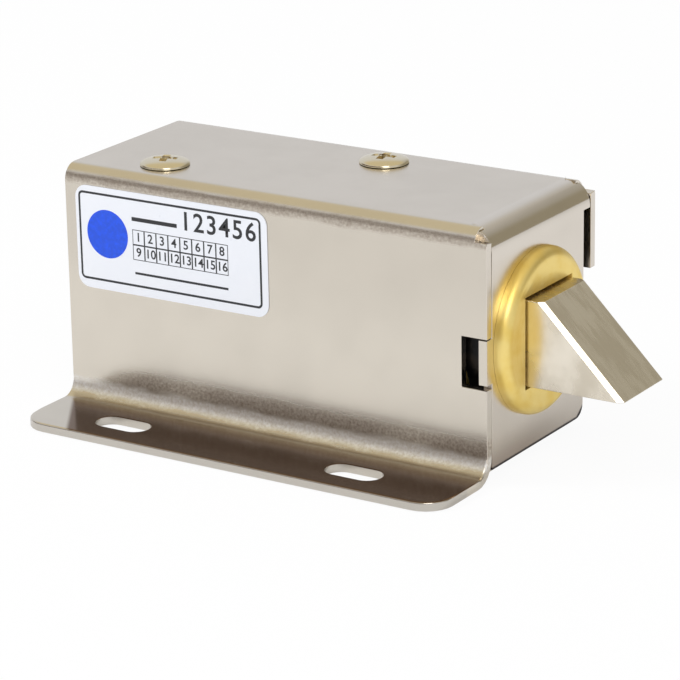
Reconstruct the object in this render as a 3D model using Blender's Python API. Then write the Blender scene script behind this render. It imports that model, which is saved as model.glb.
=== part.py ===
"""Solenoid lock: a folded sheet case, a pull solenoid and a sprung slanted bolt.

Frame: the origin lies on the mounting face, midway between the two flange slots.
+X points out of the bolt end, +Y from the flange to the rear lip, +Z up from the mounting face.
"""

import math

import bmesh
import bpy
from mathutils import Matrix, Vector

MM = 0.001

# Folded case
CASE_LENGTH = 72.1 * MM
CASE_HEIGHT = 37.0 * MM
SHEET = 1.35 * MM
TOP_BEND_RADIUS = 2.4 * MM
END_BEND_RADIUS = 3.6 * MM
FOOT_BEND_RADIUS = 2.4 * MM
LIP_DROP = 13.25 * MM

# Mounting flange
FLANGE_REACH = 13.75 * MM
FLANGE_CORNER_RADIUS = 4.3 * MM
SLOT_LENGTH = 9.1 * MM
SLOT_WIDTH = 4.6 * MM
SLOT_SPACING = 40.1 * MM
SLOT_FROM_END = 14.9 * MM
SLOT_FROM_WALL = 7.9 * MM

# Bolt-end plate, folded down from the top, and the notch its tab sits in
PLATE_LIFT = 1.75 * MM
PLATE_MARGIN = 1.8 * MM
PLATE_REAR_INSET = 3.4 * MM
PLATE_FOOT_CORNER = 2.0 * MM
PLATE_SHOULDER = 0.4 * MM
PLATE_SIDE_GAP = 0.15 * MM
BEND_RELIEF = 0.15 * MM
NOTCH_LENGTH = 4.1 * MM
NOTCH_FROM_FLANGE = 12.55 * MM
TAB_HEIGHT = 6.65 * MM
TAB_GAP_BELOW = 0.65 * MM
TAB_GAP_ABOVE = 0.15 * MM
# How far the corner relief reaches round the end bend and down the side bends
RELIEF_TURN = math.radians(30)
RELIEF_DROP = math.radians(75)

# Cover that closes the bottom, the back and the cable end
COVER_SHEET = 0.8 * MM
COVER_LIFT = 0.5 * MM
COVER_BEND_RADIUS = 2.0 * MM
COVER_STEP_BELOW_LIP = 3.5 * MM
COVER_STEP_LENGTH = 4.5 * MM
COVER_SCREW_FROM_END = 12.0 * MM
COVER_SCREW_ABOVE_LIP = 5.5 * MM

# Gaps between pieces
SEAT_GAP = 0.1 * MM
CLEARANCE = 0.3 * MM
SLIDE_GAP = 0.4 * MM

# Bolt and bush
AXIS_ABOVE_MIDDLE = 1.6 * MM
STROKE = 12.5 * MM
BOLT_SIZE = 12.75 * MM
BOLT_STRAIGHT = 2.45 * MM
BOLT_RAMP_ANGLE = math.radians(45)
BOLT_RAMP_CHAMFER = 0.65 * MM
BOLT_EDGE = 0.15 * MM
BUSH_FLANGE_OVERHANG = 1.5 * MM
BUSH_FLANGE_THICKNESS = 2.0 * MM
BUSH_CORNER_WALL = 1.1 * MM
BUSH_TAIL = 7.4 * MM
BUSH_ROUNDING = 0.9 * MM
WASHER_THICKNESS = 0.8 * MM
NUT_THICKNESS = 2.4 * MM
NUT_WALL = 1.1 * MM
NUT_SLOT = 2.2 * MM

# Cross pin between bolt and plunger
PIN_DIAMETER = 3.0 * MM
PIN_OVERHANG = 2.4 * MM
PIN_FROM_BOLT_END = 3.1 * MM

# Solenoid
YOKE_THICKNESS = 2.0 * MM
YOKE_SIDE_GAP = 0.7 * MM
SPOOL_INSET = 0.3 * MM
YOKE_BEND_RADIUS = 3.0 * MM
YOKE_SETBACK = 8.5 * MM
YOKE_FOOT_DROP = 13.5 * MM
PLUNGER_DIAMETER = 12.4 * MM
PLUNGER_CONE = 3.0 * MM
PLUNGER_CONE_RIM = 0.7 * MM
STEM_DIAMETER = 7.4 * MM
STEM_LENGTH = 8.0 * MM
CORE_LENGTH = 10.2 * MM
CORE_SPIGOT_DIAMETER = 7.8 * MM
CORE_HEAD_OVERHANG = 1.6 * MM
CORE_HEAD_THICKNESS = 1.0 * MM
BOBBIN_WALL = 1.0 * MM
BOBBIN_FLANGE_THICKNESS = 1.2 * MM
TAPE_THICKNESS = 0.4 * MM
TAPE_BELOW_FLANGE = 0.4 * MM

# Return spring, sitting in a bore of the core and a bore of the plunger
SPRING_BORE_DIAMETER = 7.2 * MM
CORE_BORE_DEPTH = 5.0 * MM
PLUNGER_BORE_DEPTH = 12.0 * MM
SPRING_WIRE = 0.8 * MM
SPRING_TURNS = 11

# Screws
TOP_SCREW_DIAMETER = 3.5 * MM
TOP_SCREW_HEAD = 7.4 * MM
TOP_SCREW_HEAD_HEIGHT = 1.0 * MM
TOP_SCREW_TIP = 1.0 * MM
LEFT_SCREW_EDGES = (4.7 * MM, 5.15 * MM)
RIGHT_SCREW_EDGES = (6.05 * MM, 4.3 * MM)
COVER_SCREW_DIAMETER = 3.0 * MM
COVER_SCREW_HEAD = 5.6 * MM
COVER_SCREW_HEAD_HEIGHT = 1.5 * MM
COVER_SCREW_TIP = 1.4 * MM

# Label and grommet
LABEL_LENGTH = 34.2 * MM
LABEL_HEIGHT = 15.95 * MM
LABEL_THICKNESS = 0.15 * MM
LABEL_CORNER_RADIUS = 2.0 * MM
LABEL_FROM_END = 1.85 * MM
LABEL_BELOW_BEND = 0.05 * MM
GROMMET_BORE = 4.4 * MM
GROMMET_WALL = 1.5 * MM
GROMMET_LIP = 1.4 * MM
GROMMET_RIM_THICKNESS = 1.2 * MM
GROMMET_HEIGHT = 9.5 * MM

# Facets
BEND_STEPS = 6
ROUND_STEPS = 48
SMALL_STEPS = 28

# Diameters that follow from the bolt: a round bush leaves a wall at each corner of its square hole
BUSH_HOLE = BOLT_SIZE + 2 * SLIDE_GAP
BUSH_BODY_DIAMETER = BUSH_HOLE * math.sqrt(2) + 2 * BUSH_CORNER_WALL
BUSH_FLANGE_DIAMETER = BUSH_BODY_DIAMETER + 2 * BUSH_FLANGE_OVERHANG
NUT_BORE = BUSH_BODY_DIAMETER + 2 * CLEARANCE
NUT_DIAMETER = NUT_BORE + 2 * NUT_WALL
CORE_HEAD_DIAMETER = CORE_SPIGOT_DIAMETER + 2 * CORE_HEAD_OVERHANG
GROMMET_NECK = GROMMET_BORE + 2 * GROMMET_WALL
GROMMET_RIM = GROMMET_NECK + 2 * GROMMET_LIP

# Planes of the case, from the slots; it is as deep as the bush and its margins need
PLATE_WIDTH = BUSH_FLANGE_DIAMETER + 2 * PLATE_MARGIN
CASE_DEPTH = PLATE_WIDTH + PLATE_REAR_INSET
LEFT = -(SLOT_FROM_END + SLOT_SPACING / 2)
RIGHT = LEFT + CASE_LENGTH
FRONT = SLOT_FROM_WALL
REAR = FRONT + CASE_DEPTH
TOP = CASE_HEIGHT
FRONT_IN = FRONT + SHEET
REAR_IN = REAR - SHEET
TOP_IN = TOP - SHEET
RIGHT_IN = RIGHT - SHEET
PLATE_REAR = REAR - PLATE_REAR_INSET
LIP_BOTTOM = TOP - LIP_DROP
NOTCH_BOTTOM = SHEET + NOTCH_FROM_FLANGE
TAB_BOTTOM = NOTCH_BOTTOM + TAB_GAP_BELOW
TAB_TOP = TAB_BOTTOM + TAB_HEIGHT
NOTCH_TOP = TAB_TOP + TAB_GAP_ABOVE

# Cover planes
COVER_LEFT = LEFT + CLEARANCE
COVER_RIGHT = RIGHT_IN - CLEARANCE
COVER_FRONT = FRONT_IN + CLEARANCE
COVER_REAR = REAR_IN - CLEARANCE
COVER_TOP = TOP_IN - 2 * CLEARANCE

# Bolt axis: across the middle of the bolt-end plate, a little above the middle of the room inside
YOKE_TOP = TOP_IN - SEAT_GAP
ROOM_TOP = YOKE_TOP - YOKE_THICKNESS
ROOM_BOTTOM = COVER_LIFT + COVER_SHEET
AXIS_Y = (FRONT + PLATE_REAR) / 2
AXIS_Z = (ROOM_TOP + ROOM_BOTTOM) / 2 + AXIS_ABOVE_MIDDLE

# The yoke fills the room between front wall and cover, and the spool fills the yoke
YOKE_FRONT = FRONT_IN + YOKE_SIDE_GAP
YOKE_REAR = COVER_REAR - COVER_SHEET - YOKE_SIDE_GAP
SPOOL_RADIUS = min(AXIS_Y - YOKE_FRONT - SPOOL_INSET, ROOM_TOP - CLEARANCE - AXIS_Z)
SPOOL_BORE = PLUNGER_DIAMETER / 2 + CLEARANCE
TAPE_RADIUS = SPOOL_RADIUS - TAPE_BELOW_FLANGE
TAPE_BORE = TAPE_RADIUS - TAPE_THICKNESS
WINDING_RADIUS = TAPE_BORE - CLEARANCE
WINDING_BORE = SPOOL_BORE + BOBBIN_WALL + CLEARANCE

# Stations along the bolt axis, from the bolt end inwards
BUSH_FACE = RIGHT + SEAT_GAP + BUSH_FLANGE_THICKNESS
BUSH_END = RIGHT - BUSH_TAIL
PIN_X = BUSH_END - CLEARANCE - PIN_DIAMETER / 2
BOLT_END = PIN_X - PIN_FROM_BOLT_END
YOKE_RIGHT = BOLT_END - STROKE - SLIDE_GAP
YOKE_LEFT = LEFT + YOKE_SETBACK
SPOOL_LEFT = YOKE_LEFT + YOKE_THICKNESS + CLEARANCE
SPOOL_RIGHT = YOKE_RIGHT - YOKE_THICKNESS - CLEARANCE
CORE_FACE = SPOOL_LEFT + CORE_LENGTH
PLUNGER_END = CORE_FACE + STROKE + SLIDE_GAP - PLUNGER_CONE
SHOULDER_X = BOLT_END - CLEARANCE
CORE_BORE_END = CORE_FACE - PLUNGER_CONE - CORE_BORE_DEPTH
PLUNGER_BORE_END = PLUNGER_END + PLUNGER_BORE_DEPTH


def material(name, colour, roughness, metallic):
    """A plain Principled material."""
    made = bpy.data.materials.new(name)
    made.use_nodes = True
    shader = made.node_tree.nodes["Principled BSDF"]
    shader.inputs["Base Color"].default_value = (*colour, 1.0)
    shader.inputs["Roughness"].default_value = roughness
    shader.inputs["Metallic"].default_value = metallic
    made.diffuse_color = (*colour, 1.0)
    return made


def to_object(mesh_builder, name, finish, location=(0, 0, 0), smooth_angle=30):
    """Turn a bmesh into an object of the scene, shaded smooth up to an angle."""
    mesh = bpy.data.meshes.new(name)
    mesh_builder.to_mesh(mesh)
    mesh_builder.free()
    mesh.shade_smooth()
    mesh.set_sharp_from_angle(angle=math.radians(smooth_angle))
    made = bpy.data.objects.new(name, mesh)
    made.location = location
    bpy.context.scene.collection.objects.link(made)
    if finish:
        mesh.materials.append(finish)
    return made


def arc(centre, radius, start, end, steps=BEND_STEPS):
    """Points along an arc in the outline's plane, angles in degrees."""
    points = []
    for i in range(steps + 1):
        angle = math.radians(start + (end - start) * i / steps)
        points.append((centre[0] + radius * math.cos(angle), centre[1] + radius * math.sin(angle)))
    return points


def strip(surface, outline, lines, place, keep=None):
    """Sweep an outline of points (a, b) across lines, as one skin of quads.

    place(line, a, b) gives the point in space; keep(centre) says which quads stay.
    """
    grid = [[surface.verts.new(place(line, a, b)) for a, b in outline] for line in lines]
    for near, far in zip(grid, grid[1:]):
        for i in range(len(outline) - 1):
            corners = (near[i], far[i], far[i + 1], near[i + 1])
            centre = sum((v.co for v in corners), Vector()) / 4
            if keep is None or keep(centre):
                surface.faces.new(corners)


def weld(surface):
    """Join the strips along their shared edges and drop points that hold no face."""
    bmesh.ops.remove_doubles(surface, verts=surface.verts, dist=0.001 * MM)
    loose = [v for v in surface.verts if not v.link_faces]
    bmesh.ops.delete(surface, geom=loose, context="VERTS")


def one_face(surface, test):
    """Merge the quads of a flat part, so that its corners can be rounded past their lines."""
    flat = [face for face in surface.faces if test(face.calc_center_median())]
    bmesh.ops.dissolve_faces(surface, faces=flat, use_verts=True)


def round_corner(surface, corner, radius):
    """Round one corner of a sheet, given by its place."""
    nearest = min(surface.verts, key=lambda v: (v.co - Vector(corner)).length)
    bmesh.ops.bevel(
        surface, geom=[nearest], offset=radius, segments=BEND_STEPS, profile=0.5, affect="VERTICES"
    )


def thicken(made, thickness):
    """Give a skin its sheet thickness, inwards from the outer side."""
    solid = made.modifiers.new("Sheet", "SOLIDIFY")
    solid.thickness = thickness
    solid.offset = -1
    solid.use_even_offset = True


def cutter(mesh_builder, name, location=(0, 0, 0)):
    """A hidden object that only cuts."""
    made = to_object(mesh_builder, name, None, location)
    made.hide_render = True
    made.display_type = "WIRE"
    return made


def cut(target, tool):
    """Subtract a cutter from a piece."""
    hole = target.modifiers.new(tool.name, "BOOLEAN")
    hole.operation = "DIFFERENCE"
    hole.solver = "EXACT"
    hole.object = tool


def rod(name, diameter, start, end, steps=ROUND_STEPS):
    """A round cutter between two points."""
    start, end = Vector(start), Vector(end)
    axis = end - start
    turn = axis.to_track_quat("Z", "Y").to_matrix().to_4x4()
    body = bmesh.new()
    bmesh.ops.create_cone(
        body, cap_ends=True, segments=steps, radius1=diameter / 2, radius2=diameter / 2,
        depth=axis.length, matrix=Matrix.Translation((start + end) / 2) @ turn,
    )
    return cutter(body, name)


def block(name, low, high):
    """A box cutter between two corners."""
    low, high = Vector(low), Vector(high)
    body = bmesh.new()
    size = Matrix.Diagonal((high - low).to_4d())
    size[3][3] = 1
    bmesh.ops.create_cube(body, size=1, matrix=Matrix.Translation((low + high) / 2) @ size)
    return cutter(body, name)


def turned(name, profile, finish, steps=ROUND_STEPS, along="X", location=None):
    """Turn a closed profile of (station, radius) points about an axis through the location."""
    body = bmesh.new()
    verts = [body.verts.new((x, r, 0)) for x, r in profile]
    edges = [body.edges.new(pair) for pair in zip(verts, verts[1:])]
    if profile[0][1] > 0 or profile[-1][1] > 0:
        edges.append(body.edges.new((verts[-1], verts[0])))
    bmesh.ops.spin(
        body, geom=verts + edges, cent=(0, 0, 0), axis=(1, 0, 0), dvec=(0, 0, 0),
        angle=math.tau, steps=steps, use_merge=True, use_duplicate=False,
    )
    bmesh.ops.remove_doubles(body, verts=body.verts, dist=0.001 * MM)
    bmesh.ops.recalc_face_normals(body, faces=body.faces)
    if along == "Z":
        turn = Matrix.Rotation(-math.pi / 2, 3, "Y")
        bmesh.ops.rotate(body, verts=body.verts, cent=(0, 0, 0), matrix=turn)
    if along == "Y":
        turn = Matrix.Rotation(math.pi / 2, 3, "Z")
        bmesh.ops.rotate(body, verts=body.verts, cent=(0, 0, 0), matrix=turn)
    if location is None:
        location = (0, AXIS_Y, AXIS_Z)
    return to_object(body, name, finish, location)


def case_shell(finish):
    """One folded sheet: flange, front wall, top and rear lip, with the bolt-end plate.

    At the bolt end the side bends are cut back to a relief, and the end bend reaches into it.
    """
    foot = FOOT_BEND_RADIUS
    bend = TOP_BEND_RADIUS
    bend_start = RIGHT - END_BEND_RADIUS
    relief_start = bend_start + END_BEND_RADIUS * math.sin(RELIEF_TURN) - BEND_RELIEF
    relief_bottom = TOP - bend * (1 - math.cos(RELIEF_DROP))
    top_front = FRONT + bend
    top_rear = REAR - bend
    flap_front = top_front + BEND_RELIEF
    flap_rear = top_rear - BEND_RELIEF
    notch_left = RIGHT - NOTCH_LENGTH

    outline = [(FRONT - FLANGE_REACH, SHEET)]
    outline += arc((FRONT - foot, SHEET + foot), foot, -90, 0)
    outline += [(FRONT, NOTCH_BOTTOM), (FRONT, NOTCH_TOP)]
    outline += arc((top_front, TOP - bend), bend, 180, 90)
    outline += [(flap_front, TOP), (PLATE_REAR, TOP), (flap_rear, TOP)]
    outline += arc((top_rear, TOP - bend), bend, 90, 0)
    outline += [(REAR, LIP_BOTTOM)]

    def stays(centre):
        in_notch = centre.x > notch_left and NOTCH_BOTTOM < centre.z < NOTCH_TOP
        in_notch = in_notch and abs(centre.y - FRONT) < 0.01 * MM
        over_sides = centre.y < top_front or centre.y > top_rear
        in_relief = over_sides and centre.x > relief_start and centre.z > relief_bottom
        past_bend = not over_sides and centre.x > bend_start
        return not in_notch and not in_relief and not past_bend

    skin = bmesh.new()
    strip(
        skin, outline, sorted((LEFT, notch_left, relief_start, bend_start, RIGHT)),
        lambda x, y, z: (x, y, z), stays,
    )

    shoulder = TOP - END_BEND_RADIUS - PLATE_SHOULDER
    plate = arc((bend_start, TOP - END_BEND_RADIUS), END_BEND_RADIUS, 90, 0)
    plate += [(RIGHT, shoulder), (RIGHT, TAB_TOP), (RIGHT, TAB_BOTTOM), (RIGHT, PLATE_LIFT)]
    plate_front = FRONT_IN + PLATE_SIDE_GAP
    bend_rear = REAR_IN - PLATE_SIDE_GAP
    ears_top = TOP - END_BEND_RADIUS * (1 - math.cos(RELIEF_TURN))

    def plate_stays(centre):
        if not flap_front < centre.y < flap_rear and centre.z > ears_top:
            return False
        if centre.y > PLATE_REAR:
            return centre.z > shoulder
        return centre.y > plate_front or TAB_BOTTOM < centre.z < TAB_TOP

    strip(
        skin, [(-z, x) for x, z in plate],
        (bend_rear, flap_rear, PLATE_REAR, flap_front, plate_front, FRONT),
        lambda y, down, x: (x, y, -down), plate_stays,
    )
    weld(skin)
    flange_edge = FRONT - FLANGE_REACH
    one_face(skin, lambda centre: centre.y < FRONT - foot)
    round_corner(skin, (LEFT, flange_edge, SHEET), FLANGE_CORNER_RADIUS)
    round_corner(skin, (RIGHT, flange_edge, SHEET), FLANGE_CORNER_RADIUS)
    round_corner(skin, (RIGHT, PLATE_REAR, PLATE_LIFT), PLATE_FOOT_CORNER)
    shell = to_object(skin, "case_shell", finish, smooth_angle=25)
    thicken(shell, SHEET)

    for side, x in (("left", -SLOT_SPACING / 2), ("right", SLOT_SPACING / 2)):
        cut(shell, slot_cutter("slot_" + side, x))
    for side, (x, y) in top_screw_places().items():
        hole = TOP_SCREW_DIAMETER + 2 * CLEARANCE
        below = (x, y, TOP_IN - SHEET)
        above = (x, y, TOP + SHEET)
        cut(shell, rod("top_hole_" + side, hole, below, above, SMALL_STEPS))
    for side, (x, z) in cover_screw_places().items():
        hole = COVER_SCREW_DIAMETER + 2 * CLEARANCE
        inside = (x, REAR_IN - CLEARANCE / 2, z)
        outside = (x, REAR + SHEET, z)
        cut(shell, rod("lip_hole_" + side, hole, inside, outside, SMALL_STEPS))
    bush_hole = BUSH_BODY_DIAMETER + 2 * CLEARANCE
    inside = (RIGHT_IN - SHEET, AXIS_Y, AXIS_Z)
    outside = (RIGHT + SHEET, AXIS_Y, AXIS_Z)
    cut(shell, rod("bush_hole", bush_hole, inside, outside))
    return shell


def slot_cutter(name, x):
    """A round-ended bar that cuts one slot through the flange."""
    half = (SLOT_LENGTH - SLOT_WIDTH) / 2
    outline = arc((x + half, 0), SLOT_WIDTH / 2, -90, 90, 2 * BEND_STEPS)
    outline += arc((x - half, 0), SLOT_WIDTH / 2, 90, 270, 2 * BEND_STEPS)
    return cutter(prism(outline, -SHEET, 2 * SHEET), name)


def prism(outline, low, high):
    """A closed outline of (x, y) points, raised from one height to another."""
    body = bmesh.new()
    face = body.faces.new([body.verts.new((x, y, low)) for x, y in outline])
    raised = bmesh.ops.extrude_face_region(body, geom=[face])["geom"]
    top_verts = [item for item in raised if isinstance(item, bmesh.types.BMVert)]
    bmesh.ops.translate(body, verts=top_verts, vec=(0, 0, high - low))
    bmesh.ops.recalc_face_normals(body, faces=body.faces)
    return body


def top_screw_places():
    """The two top screws stand on opposite corners of the yoke."""
    left_in, front_in = LEFT_SCREW_EDGES
    right_in, rear_in = RIGHT_SCREW_EDGES
    return {
        "left": (YOKE_LEFT + left_in, YOKE_FRONT + front_in),
        "right": (YOKE_RIGHT - right_in, YOKE_REAR - rear_in),
    }


def cover_screw_places():
    """The cover is held through the rear lip, near its two ends."""
    z = LIP_BOTTOM + COVER_SCREW_ABOVE_LIP
    return {
        "left": (LEFT + COVER_SCREW_FROM_END, z),
        "right": (RIGHT - COVER_SCREW_FROM_END, z),
    }


def rear_cover(finish):
    """A thin folded sheet: bottom, rear wall and cable-end plate."""
    bend = COVER_BEND_RADIUS
    floor = COVER_LIFT
    fold = COVER_REAR - bend
    step_z = LIP_BOTTOM - COVER_STEP_BELOW_LIP
    step_x = COVER_RIGHT - COVER_STEP_LENGTH
    left_fold = COVER_LEFT + bend

    outline = [(COVER_FRONT, floor)]
    outline += arc((fold, floor + bend), bend, -90, 0)
    outline += [(COVER_REAR, step_z), (COVER_REAR, COVER_TOP)]

    def stays(centre):
        in_step = centre.x > step_x and centre.z > step_z
        in_corner = centre.x < left_fold and centre.z < floor + bend
        return not in_step and not in_corner

    skin = bmesh.new()
    strip(
        skin, outline, (COVER_RIGHT, step_x, left_fold, COVER_LEFT),
        lambda x, y, z: (x, y, z), stays,
    )
    end = arc((left_fold, floor + bend), bend, 270, 180)
    end += [(COVER_LEFT, COVER_TOP)]
    strip(skin, end, (fold, COVER_FRONT), lambda y, x, z: (x, y, z))
    weld(skin)
    cover = to_object(skin, "rear_cover", finish)
    thicken(cover, COVER_SHEET)

    inlet = GROMMET_NECK + 2 * CLEARANCE
    cut(cover, rod(
        "inlet_hole", inlet, (COVER_LEFT - SHEET, AXIS_Y, GROMMET_HEIGHT),
        (COVER_LEFT + 2 * SHEET, AXIS_Y, GROMMET_HEIGHT), SMALL_STEPS,
    ))
    for side, (x, z) in cover_screw_places().items():
        hole = COVER_SCREW_DIAMETER + 2 * CLEARANCE
        cut(cover, rod(
            "cover_hole_" + side, hole, (x, COVER_REAR - 2 * SHEET, z),
            (x, COVER_REAR + CLEARANCE / 2, z), SMALL_STEPS,
        ))
    return cover


def solenoid_yoke(finish):
    """A bent steel U that hangs under the top and carries the coil between its legs."""
    bend = YOKE_BEND_RADIUS
    foot = AXIS_Z - YOKE_FOOT_DROP
    outline = [(YOKE_LEFT, foot)]
    outline += arc((YOKE_LEFT + bend, YOKE_TOP - bend), bend, 180, 90)
    outline += arc((YOKE_RIGHT - bend, YOKE_TOP - bend), bend, 90, 0)
    outline += [(YOKE_RIGHT, foot)]
    skin = bmesh.new()
    strip(skin, outline, (YOKE_REAR, YOKE_FRONT), lambda y, x, z: (x, y, z))
    yoke = to_object(skin, "solenoid_yoke", finish)
    thicken(yoke, YOKE_THICKNESS)

    past = YOKE_THICKNESS
    bore = PLUNGER_DIAMETER + 2 * CLEARANCE
    cut(yoke, rod(
        "plunger_hole", bore, (YOKE_RIGHT - 2 * past, AXIS_Y, AXIS_Z),
        (YOKE_RIGHT + past, AXIS_Y, AXIS_Z),
    ))
    spigot = CORE_SPIGOT_DIAMETER + 2 * CLEARANCE
    cut(yoke, rod(
        "spigot_hole", spigot, (YOKE_LEFT - past, AXIS_Y, AXIS_Z),
        (YOKE_LEFT + 2 * past, AXIS_Y, AXIS_Z),
    ))
    for side, (x, y) in top_screw_places().items():
        hole = TOP_SCREW_DIAMETER + 2 * CLEARANCE
        below = (x, y, YOKE_TOP - 2 * past)
        above = (x, y, YOKE_TOP + past)
        cut(yoke, rod("tapped_hole_" + side, hole, below, above, SMALL_STEPS))
    return yoke


def fixed_core(finish):
    """The stop that the plunger is pulled to: a conical seat with a bore for the spring."""
    body = PLUNGER_DIAMETER / 2
    rim = body - PLUNGER_CONE_RIM
    bore = SPRING_BORE_DIAMETER / 2
    seat = CORE_FACE - PLUNGER_CONE * (rim - bore) / rim
    head = YOKE_LEFT - SEAT_GAP
    profile = [
        (head - CORE_HEAD_THICKNESS, 0),
        (head - CORE_HEAD_THICKNESS, CORE_HEAD_DIAMETER / 2),
        (head, CORE_HEAD_DIAMETER / 2),
        (head, CORE_SPIGOT_DIAMETER / 2),
        (SPOOL_LEFT, CORE_SPIGOT_DIAMETER / 2),
        (SPOOL_LEFT, body),
        (CORE_FACE, body),
        (CORE_FACE, rim),
        (seat, bore),
        (CORE_BORE_END, bore),
        (CORE_BORE_END, 0),
    ]
    return turned("fixed_core", profile, finish)


def plunger(finish):
    """A turned plunger: coned rear end with the spring bore, and a stem for the bolt."""
    body = PLUNGER_DIAMETER / 2
    rim = body - PLUNGER_CONE_RIM
    bore = SPRING_BORE_DIAMETER / 2
    slope = PLUNGER_CONE * (rim - bore) / rim
    nose = CORE_FACE + STROKE + SLIDE_GAP
    profile = [
        (PLUNGER_BORE_END, 0),
        (PLUNGER_BORE_END, bore),
        (nose - slope, bore),
        (nose, rim),
        (nose, body),
        (SHOULDER_X, body),
        (SHOULDER_X, STEM_DIAMETER / 2),
        (BOLT_END + STEM_LENGTH, STEM_DIAMETER / 2),
        (BOLT_END + STEM_LENGTH, 0),
    ]
    made = turned("plunger", profile, finish)
    cross = PIN_DIAMETER + 2 * CLEARANCE
    half = BOLT_SIZE / 2
    cut(made, rod(
        "stem_hole", cross, (PIN_X, AXIS_Y - half, AXIS_Z), (PIN_X, AXIS_Y + half, AXIS_Z), SMALL_STEPS
    ))
    return made


def coil_bobbin(finish):
    """A plastic spool with a flange at each leg of the yoke."""
    bore = SPOOL_BORE
    tube = bore + BOBBIN_WALL
    flange = SPOOL_RADIUS
    thick = BOBBIN_FLANGE_THICKNESS
    profile = [
        (SPOOL_LEFT, bore),
        (SPOOL_LEFT, flange),
        (SPOOL_LEFT + thick, flange),
        (SPOOL_LEFT + thick, tube),
        (SPOOL_RIGHT - thick, tube),
        (SPOOL_RIGHT - thick, flange),
        (SPOOL_RIGHT, flange),
        (SPOOL_RIGHT, bore),
    ]
    return turned("coil_bobbin", profile, finish)


def coil_sleeve(name, inner, outer, finish):
    """A plain ring that fills the spool between its flanges: the winding or its tape."""
    start = SPOOL_LEFT + BOBBIN_FLANGE_THICKNESS + CLEARANCE
    end = SPOOL_RIGHT - BOBBIN_FLANGE_THICKNESS - CLEARANCE
    profile = [(start, inner), (start, outer), (end, outer), (end, inner)]
    return turned(name, profile, finish)


def return_spring(finish):
    """A round-wire coil whose end turns lie close, from the core's bore to the plunger's."""
    radius = SPRING_BORE_DIAMETER / 2 - CLEARANCE - SPRING_WIRE / 2
    start = CORE_BORE_END + CLEARANCE + SPRING_WIRE / 2
    end = PLUNGER_BORE_END - CLEARANCE - SPRING_WIRE / 2
    points_per_turn = 12
    count = SPRING_TURNS * points_per_turn
    close_turn = 1.1 * SPRING_WIRE
    pitch = (end - start - 2 * close_turn) / (SPRING_TURNS - 2)
    wire = bpy.data.curves.new("return_spring", "CURVE")
    wire.dimensions = "3D"
    wire.bevel_depth = SPRING_WIRE / 2
    wire.bevel_resolution = 1
    wire.use_fill_caps = True
    spline = wire.splines.new("POLY")
    spline.points.add(count)
    for i in range(count + 1):
        turns = i / points_per_turn
        along = close_turn * min(turns, 1)
        along += pitch * min(max(turns - 1, 0), SPRING_TURNS - 2)
        along += close_turn * max(turns - SPRING_TURNS + 1, 0)
        angle = math.tau * turns
        spline.points[i].co = (start + along, radius * math.cos(angle), radius * math.sin(angle), 1)
    wire.materials.append(finish)
    made = bpy.data.objects.new("return_spring", wire)
    made.location = (0, AXIS_Y, AXIS_Z)
    bpy.context.scene.collection.objects.link(made)
    return made


def latch_bolt(finish):
    """A square bolt whose nose is ramped on top, with a blind bore for the plunger's stem."""
    half = BOLT_SIZE / 2
    ramp_start = BUSH_FACE + BOLT_STRAIGHT
    tip = ramp_start + BOLT_SIZE / math.tan(BOLT_RAMP_ANGLE)
    side = [(BOLT_END, -half), (tip, -half), (ramp_start, half), (BOLT_END, half)]
    body = prism(side, -half, half)
    upright = Matrix.Rotation(math.pi / 2, 3, "X")
    bmesh.ops.rotate(body, verts=body.verts, cent=(0, 0, 0), matrix=upright)
    along_ramp = [
        edge for edge in body.edges
        if {round(v.co.x / MM, 3) for v in edge.verts} == {round(tip / MM, 3), round(ramp_start / MM, 3)}
    ]
    bmesh.ops.bevel(body, geom=along_ramp, offset=BOLT_RAMP_CHAMFER, segments=1, affect="EDGES")
    made = to_object(body, "latch_bolt", finish, (0, AXIS_Y, AXIS_Z))
    worn = made.modifiers.new("Edges", "BEVEL")
    worn.width = BOLT_EDGE
    worn.segments = 2
    worn.limit_method = "ANGLE"
    worn.angle_limit = math.radians(60)

    bore = STEM_DIAMETER + 2 * CLEARANCE
    cut(made, rod(
        "stem_bore", bore, (BOLT_END - SHEET, AXIS_Y, AXIS_Z),
        (BOLT_END + STEM_LENGTH + CLEARANCE, AXIS_Y, AXIS_Z),
    ))
    cross = PIN_DIAMETER + 2 * CLEARANCE
    cut(made, rod(
        "pin_hole", cross, (PIN_X, AXIS_Y - BOLT_SIZE, AXIS_Z), (PIN_X, AXIS_Y + BOLT_SIZE, AXIS_Z),
        SMALL_STEPS,
    ))
    return made


def bolt_pin(finish):
    """A cross pin whose ends stand out of the bolt and stop it against the bush."""
    reach = BOLT_SIZE / 2 + PIN_OVERHANG
    radius = PIN_DIAMETER / 2
    edge = radius / 5
    profile = [(-reach, 0), (-reach, radius - edge), (edge - reach, radius)]
    profile += [(reach - edge, radius), (reach, radius - edge), (reach, 0)]
    return turned("bolt_pin", profile, finish, SMALL_STEPS, "Y", (PIN_X, AXIS_Y, AXIS_Z))


def bolt_bush(finish):
    """A turned brass bush with a rounded flange and a square hole for the bolt."""
    body = BUSH_BODY_DIAMETER / 2
    flange = BUSH_FLANGE_DIAMETER / 2
    round_edge = min(BUSH_ROUNDING, BUSH_FLANGE_THICKNESS)
    seat = RIGHT + SEAT_GAP
    profile = [(BUSH_END, 0), (BUSH_END, body), (seat, body), (seat, flange)]
    profile += arc((BUSH_FACE - round_edge, flange - round_edge), round_edge, 90, 0, 5)
    profile += [(BUSH_FACE, 0)]
    made = turned("bolt_bush", profile, finish, 64)
    reach = BUSH_HOLE / 2
    cut(made, block(
        "bush_square", (BUSH_END - SHEET, AXIS_Y - reach, AXIS_Z - reach),
        (BUSH_FACE + SHEET, AXIS_Y + reach, AXIS_Z + reach),
    ))
    return made


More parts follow.
